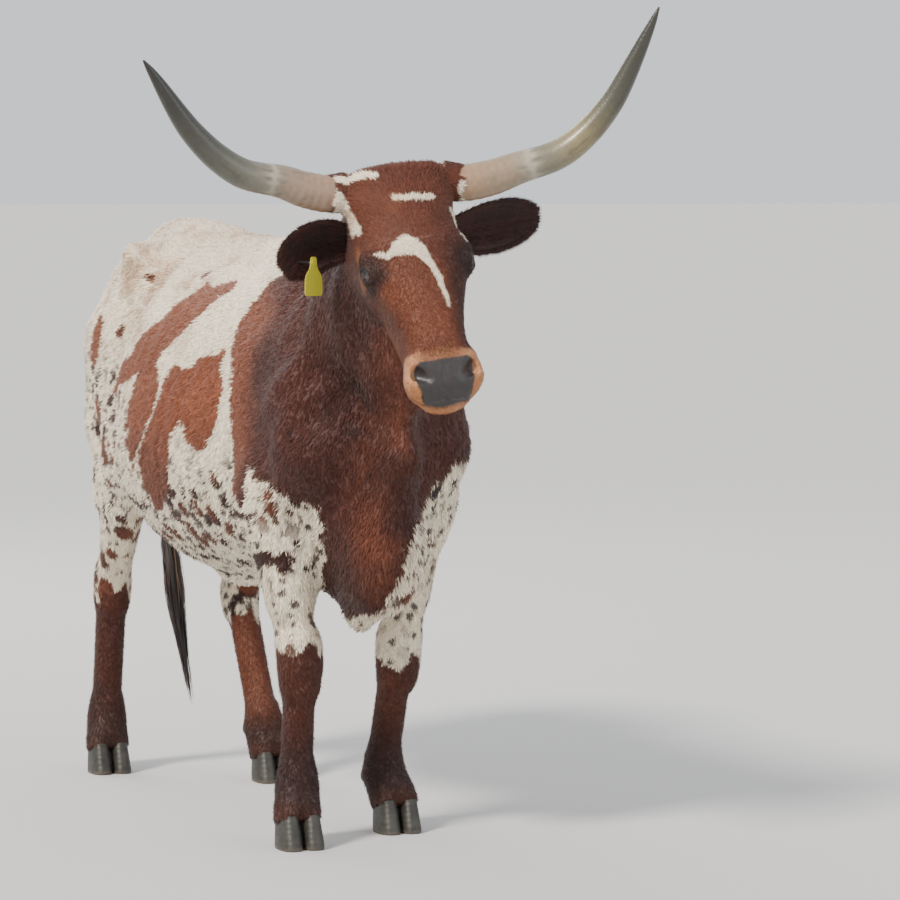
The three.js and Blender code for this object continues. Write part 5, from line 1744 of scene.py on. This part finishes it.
def horn_colour(p, share, angle, s):
    """Tan at the base with a pale ring, grey-green to ivory along the middle, dark to the tip."""
    streaks = noise(np.stack([share * 0.5, np.cos(angle) * 0.12, np.sin(angle) * 0.12], 1), 0.028, 181)
    fine = noise(p, 0.006, 191)
    t = share + 0.02 * streaks
    upper = 0.5 + 0.5 * np.sin(angle)
    if s < 0:
        stops = [0, 0.1, 0.27, 0.33, 0.42, 0.62, 0.8, 1.0]
        tones = [
            (0.25, 0.145, 0.095), (0.27, 0.17, 0.11), (0.22, 0.165, 0.115), (0.19, 0.165, 0.125),
            (0.1, 0.098, 0.074), (0.045, 0.044, 0.032), (0.02, 0.0195, 0.014), (0.011, 0.01, 0.0085),
        ]
    else:
        stops = [0, 0.1, 0.24, 0.3, 0.36, 0.5, 0.66, 0.84, 1.0]
        tones = [
            (0.27, 0.15, 0.08), (0.3, 0.19, 0.11), (0.24, 0.18, 0.12), (0.26, 0.225, 0.16),
            (0.15, 0.135, 0.095),
            (0.25, 0.2, 0.095), (0.1, 0.095, 0.062), (0.036, 0.035, 0.026), (0.014, 0.0125, 0.0095),
        ]
    tones = np.array(tones)
    c = np.stack([np.interp(t, stops, tones[:, k]) for k in range(3)], 1)
    if s > 0:
        shadow = smoothstep(0.35, 0.75, share) * (1 - upper)
    else:
        shadow = smoothstep(0.3, 0.6, share) * upper * 0.5
    c = mix(c, np.array([0.03, 0.028, 0.02]), 0.75 * shadow)
    c = mix(c, np.array([0.42, 0.38, 0.3]), 0.55 * bell(t, 0.31, 0.014))
    dark = smoothstep(0.35, 0.8, streaks) * smoothstep(0.05, 0.3, share)
    c = mix(c, np.array([0.06, 0.045, 0.03]), 0.5 * dark)
    return c * (1 + 0.1 * fine[:, None])


def claw_rings(foot, way, count=26, sides=40):
    """Rings of one claw from its sole to the coronet."""
    rings = []
    for height in np.linspace(0, 1, count):
        size = np.interp(height, [0, 0.02, 0.1, 0.5, 1], [0.95, 0.99, 1.0, 0.92, 0.8])
        forward = np.interp(height, [0, 0.1, 0.5, 1], [11, 11, 4, -4])
        angle = np.linspace(0, math.tau, sides, endpoint=False)
        c, n = np.cos(angle), np.sin(angle)
        power = 2 / 2.5
        ridge = 1 + 0.006 * math.sin(height * 40)
        u = CLAW_WIDTH / 2 * (1 + size * ridge * np.sign(c) * np.abs(c) ** power)
        v = CLAW_LENGTH / 2 * size * ridge * np.sign(n) * np.abs(n) ** power
        y = foot[1] / MM - forward + v * way
        top = CORONET_HEIGHT - 4 - 0.3 * (y - foot[1] / MM)
        rings.append(np.stack([foot[0] / MM + way * np.maximum(u, 2.6), y, height * top], 1) * MM)
    return np.array(rings)


def dewclaw_radii(t):
    """A dewclaw's radius, which ends in a blunt tip."""
    return lerp(15, 7, t**2) * np.sqrt(np.clip((1.02 - t) * 6, 0, 1)) * MM


class LONGHORN_OT_hooves(bpy.types.Operator):
    """Build the claws and dewclaws"""

    bl_idname = "longhorn.hooves"
    bl_label = "Build hooves"

    def execute(self, context):
        material = painted("hoof", 0.5, 220, 0.0012, 0.25)
        for name, leg in LEGS.items():
            for way in (-1, 1):
                outer = "outer" if way == leg["side"] else "inner"
                self.piece(f"{name}_claw_{outer}", claw_rings(leg["foot"], way), material)
                spots = (at(20 * way, 14, -8), at(25 * way, 44, -22), at(25 * way, 62, -44))
                rings = rod([leg["fetlock"] + spot for spot in spots], dewclaw_radii, 18, 20)
                self.piece(f"{name}_dewclaw_{outer}", rings, material)
        return {"FINISHED"}

    def piece(self, node, rings, material):
        """One claw or dewclaw in dark horn, dusty along its sole."""
        verts, faces = loft(rings)
        horny, light = np.array([0.013, 0.012, 0.0095]), np.array([0.04, 0.037, 0.028])
        paints = mix(horny, light, 0.5 + 0.5 * noise(verts, 0.012, 201))
        dust = smoothstep(0.012, 0.0, verts[:, 2] + 0.004 * noise(verts, 0.02, 203))
        paints = mix(paints, np.array([0.13, 0.1, 0.075]), 0.6 * dust)
        obj = mesh_object(node + "_horn", verts, faces, material, paint=paints)
        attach(obj, "root")
        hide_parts(node)


# The switch's middle line below the tail
SWITCH = np.array([at(32, 1390, 540), at(44, 1384, 400), at(66, 1382, 250), at(88, 1384, 120)])


class LONGHORN_OT_switch(bpy.types.Operator):
    """Build the long hair of the tail"""

    bl_idname = "longhorn.switch"
    bl_label = "Build tail switch"

    def execute(self, context):
        rng = np.random.default_rng(17)
        tail, _ = spline(TAIL, TAIL_STATIONS)
        places, _ = spline(np.vstack([tail[52:59:3], SWITCH]), 60)
        stations = np.linspace(0, 1, len(places))
        count = 900
        steps = 9
        verts, faces, paints, uvs = [], [], [], []
        for i in range(count):
            start = rng.uniform(0.0, 0.45) ** 1.2
            end = min(start + rng.uniform(0.3, 0.6), rng.uniform(0.9, 1.0))
            span = np.linspace(start, end, steps)
            centre = np.stack([np.interp(span, stations, places[:, k]) for k in range(3)], 1)
            angle = rng.uniform(0, math.tau)
            bulge = np.interp(span, [0, 0.15, 0.4, 0.7, 1], [0.010, 0.022, 0.027, 0.013, 0.007])
            bulge = bulge * rng.uniform(0.1, 1.0)
            twist = angle + rng.normal() * 0.5 * np.linspace(0, 1, steps)
            out = np.stack([np.cos(twist), np.sin(twist), 0 * twist], 1)
            wave = 0.006 * np.sin(np.linspace(0, rng.uniform(4, 9), steps) + angle)
            path = centre + out * bulge[:, None] + wave[:, None] * np.roll(out, 1, axis=1)
            path[0] = centre[0] + out[0] * 0.008
            side = unit(np.cross(np.gradient(path, axis=0), out))
            width = 0.0018 * np.interp(np.linspace(0, 1, steps), [0, 0.2, 0.7, 1], [0.8, 1, 0.8, 0.1])
            a, b = path - side * width[:, None], path + side * width[:, None]
            base = len(verts) * 2 * steps
            verts.append(np.stack([a, b], 1).reshape(-1, 3))
            for k in range(steps - 1):
                j = base + 2 * k
                faces.append([j, j + 1, j + 3, j + 2])
            paints.append(np.repeat(switch_colour(rng, span), 2, axis=0))
            place = [0.05 + 0.5 * angle / math.tau, 0.7 + 0.25 * start]
            uvs.append(np.repeat([place], 2 * steps, axis=0))
        material = painted("switch_hair", 0.5, 600, 0.0, 0.15, sheen=0.05)
        obj = mesh_object("switch_hair", np.vstack(verts), np.array(faces), material, paint=np.vstack(paints))
        spread = np.stack([np.tile([-0.001, 0.001], steps), np.linspace(-0.0015, 0.0015, 2 * steps)], 1)
        bake_map(obj, np.vstack(uvs) + np.tile(spread, (count, 1)))
        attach(obj, "root")
        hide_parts("tail_switch")
        return {"FINISHED"}


def switch_colour(rng, span):
    """Mixed dark brown, red and grey-cream strands, darkest at the tips."""
    kind = rng.random()
    if kind < 0.75:
        base = colour("black") * 1.6
    elif kind < 0.92:
        base = colour("mahogany")
    else:
        base = colour("roan") * 0.4
    tone = base * rng.uniform(0.7, 1.3)
    return mix(np.broadcast_to(tone, (len(span), 3)), colour("black"), 0.55 * span)


class LONGHORN_OT_tag(bpy.types.Operator):
    """Build the ear tag"""

    bl_idname = "longhorn.tag"
    bl_label = "Build ear tag"

    def execute(self, context):
        places, _ = ear_spine(-1, 201)
        half = EAR_SECTION(np.array([75.0]))[0, 0]
        hole = places[150] + at(0, 0, -0.35 * half)
        reach, thick = 40, 2.4
        side = TAG_WIDTH / 2
        rows = [(12, 5), (9, 8.5), (2, 9.5), (-8, 10.5), (-15, 13), (-21, 18), (-28, 23), (-37, side - 0.7)]
        rows += [(-50, side), (-64, side), (-69, side - 1), (-71.4, side - 3.4), (-72, side - 7)]
        outline = [(x, z) for z, x in rows] + [(-x, z) for z, x in rows[::-1]]
        bm = bmesh.new()
        loop = [bm.verts.new(at(x, -reach, z)) for x, z in outline]
        face = bm.faces.new(loop)
        made = bmesh.ops.extrude_face_region(bm, geom=[face])
        moved = [v for v in made["geom"] if isinstance(v, bmesh.types.BMVert)]
        bmesh.ops.translate(bm, verts=moved, vec=at(0, -thick, 0))
        bmesh.ops.recalc_face_normals(bm, faces=bm.faces)
        rim = [e for e in bm.edges if len(e.link_faces) == 2 and e.calc_face_angle(0) > 1.0]
        bmesh.ops.bevel(bm, geom=rim, offset=0.0006, segments=2, affect="EDGES")
        # the pin, its round back plate, and its head in front of the tag
        for radius, low, high in ((3, -reach - 2, 32), (13, 30, 32.4), (7, -reach - 4.4, -reach - 2.4)):
            spin = Matrix.Translation(at(0, (low + high) / 2, 0)) @ Matrix.Rotation(math.pi / 2, 4, "X")
            size = {"radius1": radius * MM, "radius2": radius * MM, "depth": (high - low) * MM}
            bmesh.ops.create_cone(bm, cap_ends=True, segments=32, matrix=spin, **size)
        long_edges = [e for e in bm.edges if e.calc_length() > 0.02]
        bmesh.ops.subdivide_edges(bm, edges=long_edges, cuts=5, use_grid_fill=True)
        bmesh.ops.triangulate(bm, faces=bm.faces)
        verts, faces = take_out(bm)
        x, z = verts[:, 0] / MM, verts[:, 2] / MM
        yellow, olive = np.array([0.47, 0.43, 0.035]), np.array([0.15, 0.15, 0.025])
        middle = smoothstep(20, 14, np.abs(x)) * smoothstep(-64, -58, z) * smoothstep(-24, -32, z)
        paints = mix(yellow, olive, 0.8 * middle)
        # painted shade: the pin's shaft and back plate painted near black, as if in the shadow of the ear's
        # hair
        paints = mix(paints, colour("black"), smoothstep(-reach + 0.5, -reach + 2, verts[:, 1] / MM))
        turned = verts @ turn(UP, math.radians(24)).T + hole
        material = painted("tag", 0.45, 300, 0.0004, 0.08)
        obj = mesh_object("tag_plate", turned, faces, material, smooth=False, paint=paints)
        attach(obj, "root")
        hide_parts("ear_tag")
        return {"FINISHED"}


FLOOR_REACH = 400
# Soft lights, as [name, place, power, width, colour]
LAMPS = [
    ("fill_light", (4.5, -7.0, 3.4), 120, 4.5, (0.92, 0.96, 1.0)),
    ("rim_light", (-1.0, 7.0, 5.0), 260, 3.5, (1.0, 0.98, 0.95)),
]
# The photo's camera: its focal length and width in pixels, its place from the middle between the
# forefeet in metres, how far below the picture's middle its level line lies in pixels, and its heading
FOCAL_PIXELS = 4139
PICTURE_PIXELS = 900
FILM_WIDTH = 36
CAMERA_PLACE = np.array([-3.3614, -8.7086, 1.48])
CAMERA_DROP = 260
CAMERA_WAY = (-0.3816, 0.9243)


def put(name, data, place=(0, 0, 0), way=None):
    """A new object in the scene, turned so that its -Z points along a way."""
    obj = bpy.data.objects.new(name, data)
    obj.location = place
    if way is not None:
        obj.rotation_euler = Vector(way).to_track_quat("-Z", "Y").to_euler()
    bpy.context.scene.collection.objects.link(obj)
    return obj


class LONGHORN_OT_stage(bpy.types.Operator):
    """Set the floor, the light and the camera"""

    bl_idname = "longhorn.stage"
    bl_label = "Set the stage"

    def execute(self, context):
        scene = context.scene
        material, _, shader = new_material("floor")
        set_inputs(shader, {"Base Color": (*scene.longhorn.floor, 1), "Roughness": 0.9})
        mesh = bpy.data.meshes.new("floor")
        corners = [(x * FLOOR_REACH, y * FLOOR_REACH, 0) for x, y in ((-1, -1), (1, -1), (1, 1), (-1, 1))]
        mesh.from_pydata(corners, [], [(0, 1, 2, 3)])
        mesh.materials.append(material)
        pieces = [put("floor", mesh)]
        sun = bpy.data.lights.new("key_light", "SUN")
        sun.energy, sun.angle, sun.color = 4.8, 0.2, (1.0, 0.94, 0.86)
        pieces.append(put("key_light", sun, way=(0.78, 0.42, -0.72)))
        for name, place, power, width, tint in LAMPS:
            lamp = bpy.data.lights.new(name, "AREA")
            lamp.energy, lamp.size, lamp.color = power, width, tint
            pieces.append(put(name, lamp, place, Vector((0, -0.1, 0.9)) - Vector(place)))
        world = bpy.data.worlds.new("studio")
        world.use_nodes = True
        sky = world.node_tree.nodes["Background"]
        set_inputs(sky, {"Color": (0.92, 0.95, 1.0, 1), "Strength": 1.0})
        scene.world = world
        camera = bpy.data.cameras.new("camera")
        camera.sensor_width = FILM_WIDTH
        camera.lens = FOCAL_PIXELS / PICTURE_PIXELS * FILM_WIDTH
        camera.clip_end = 1000
        scene.camera = put("camera", camera, CAMERA_PLACE - ORIGIN)
        pitch = math.atan(CAMERA_DROP / FOCAL_PIXELS)
        scene.camera.rotation_euler = (math.pi / 2 - pitch, 0, math.atan2(*CAMERA_WAY))
        pieces.append(scene.camera)
        return {"FINISHED"}


class LONGHORN_PT_panel(bpy.types.Panel):
    """The settings and the buttons that build the pieces"""

    bl_label = "Longhorn"
    bl_idname = "LONGHORN_PT_panel"
    bl_space_type = "VIEW_3D"
    bl_region_type = "UI"
    bl_category = "Longhorn"

    def draw(self, context):
        settings = context.scene.longhorn
        for name in LonghornSettings.__annotations__:
            self.layout.prop(settings, name)
        for operator in OPERATORS:
            self.layout.operator(operator.bl_idname)


OPERATORS = (
    LONGHORN_OT_skin,
    LONGHORN_OT_eyes,
    LONGHORN_OT_horns,
    LONGHORN_OT_hooves,
    LONGHORN_OT_switch,
    LONGHORN_OT_tag,
    LONGHORN_OT_stage,
)
CLASSES = (LonghornSettings, *OPERATORS, LONGHORN_PT_panel)


def register():
    for item in CLASSES:
        bpy.utils.register_class(item)
    bpy.types.Scene.longhorn = bpy.props.PointerProperty(type=LonghornSettings)


def unregister():
    del bpy.types.Scene.longhorn
    for item in reversed(CLASSES):
        bpy.utils.unregister_class(item)


def main():
    """Builds every piece."""
    register()
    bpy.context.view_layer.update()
    bpy.ops.longhorn.skin()
    bpy.ops.longhorn.eyes()
    bpy.ops.longhorn.horns()
    bpy.ops.longhorn.hooves()
    bpy.ops.longhorn.switch()
    bpy.ops.longhorn.tag()
    bpy.ops.longhorn.stage()


if __name__ == "__main__":
    main()
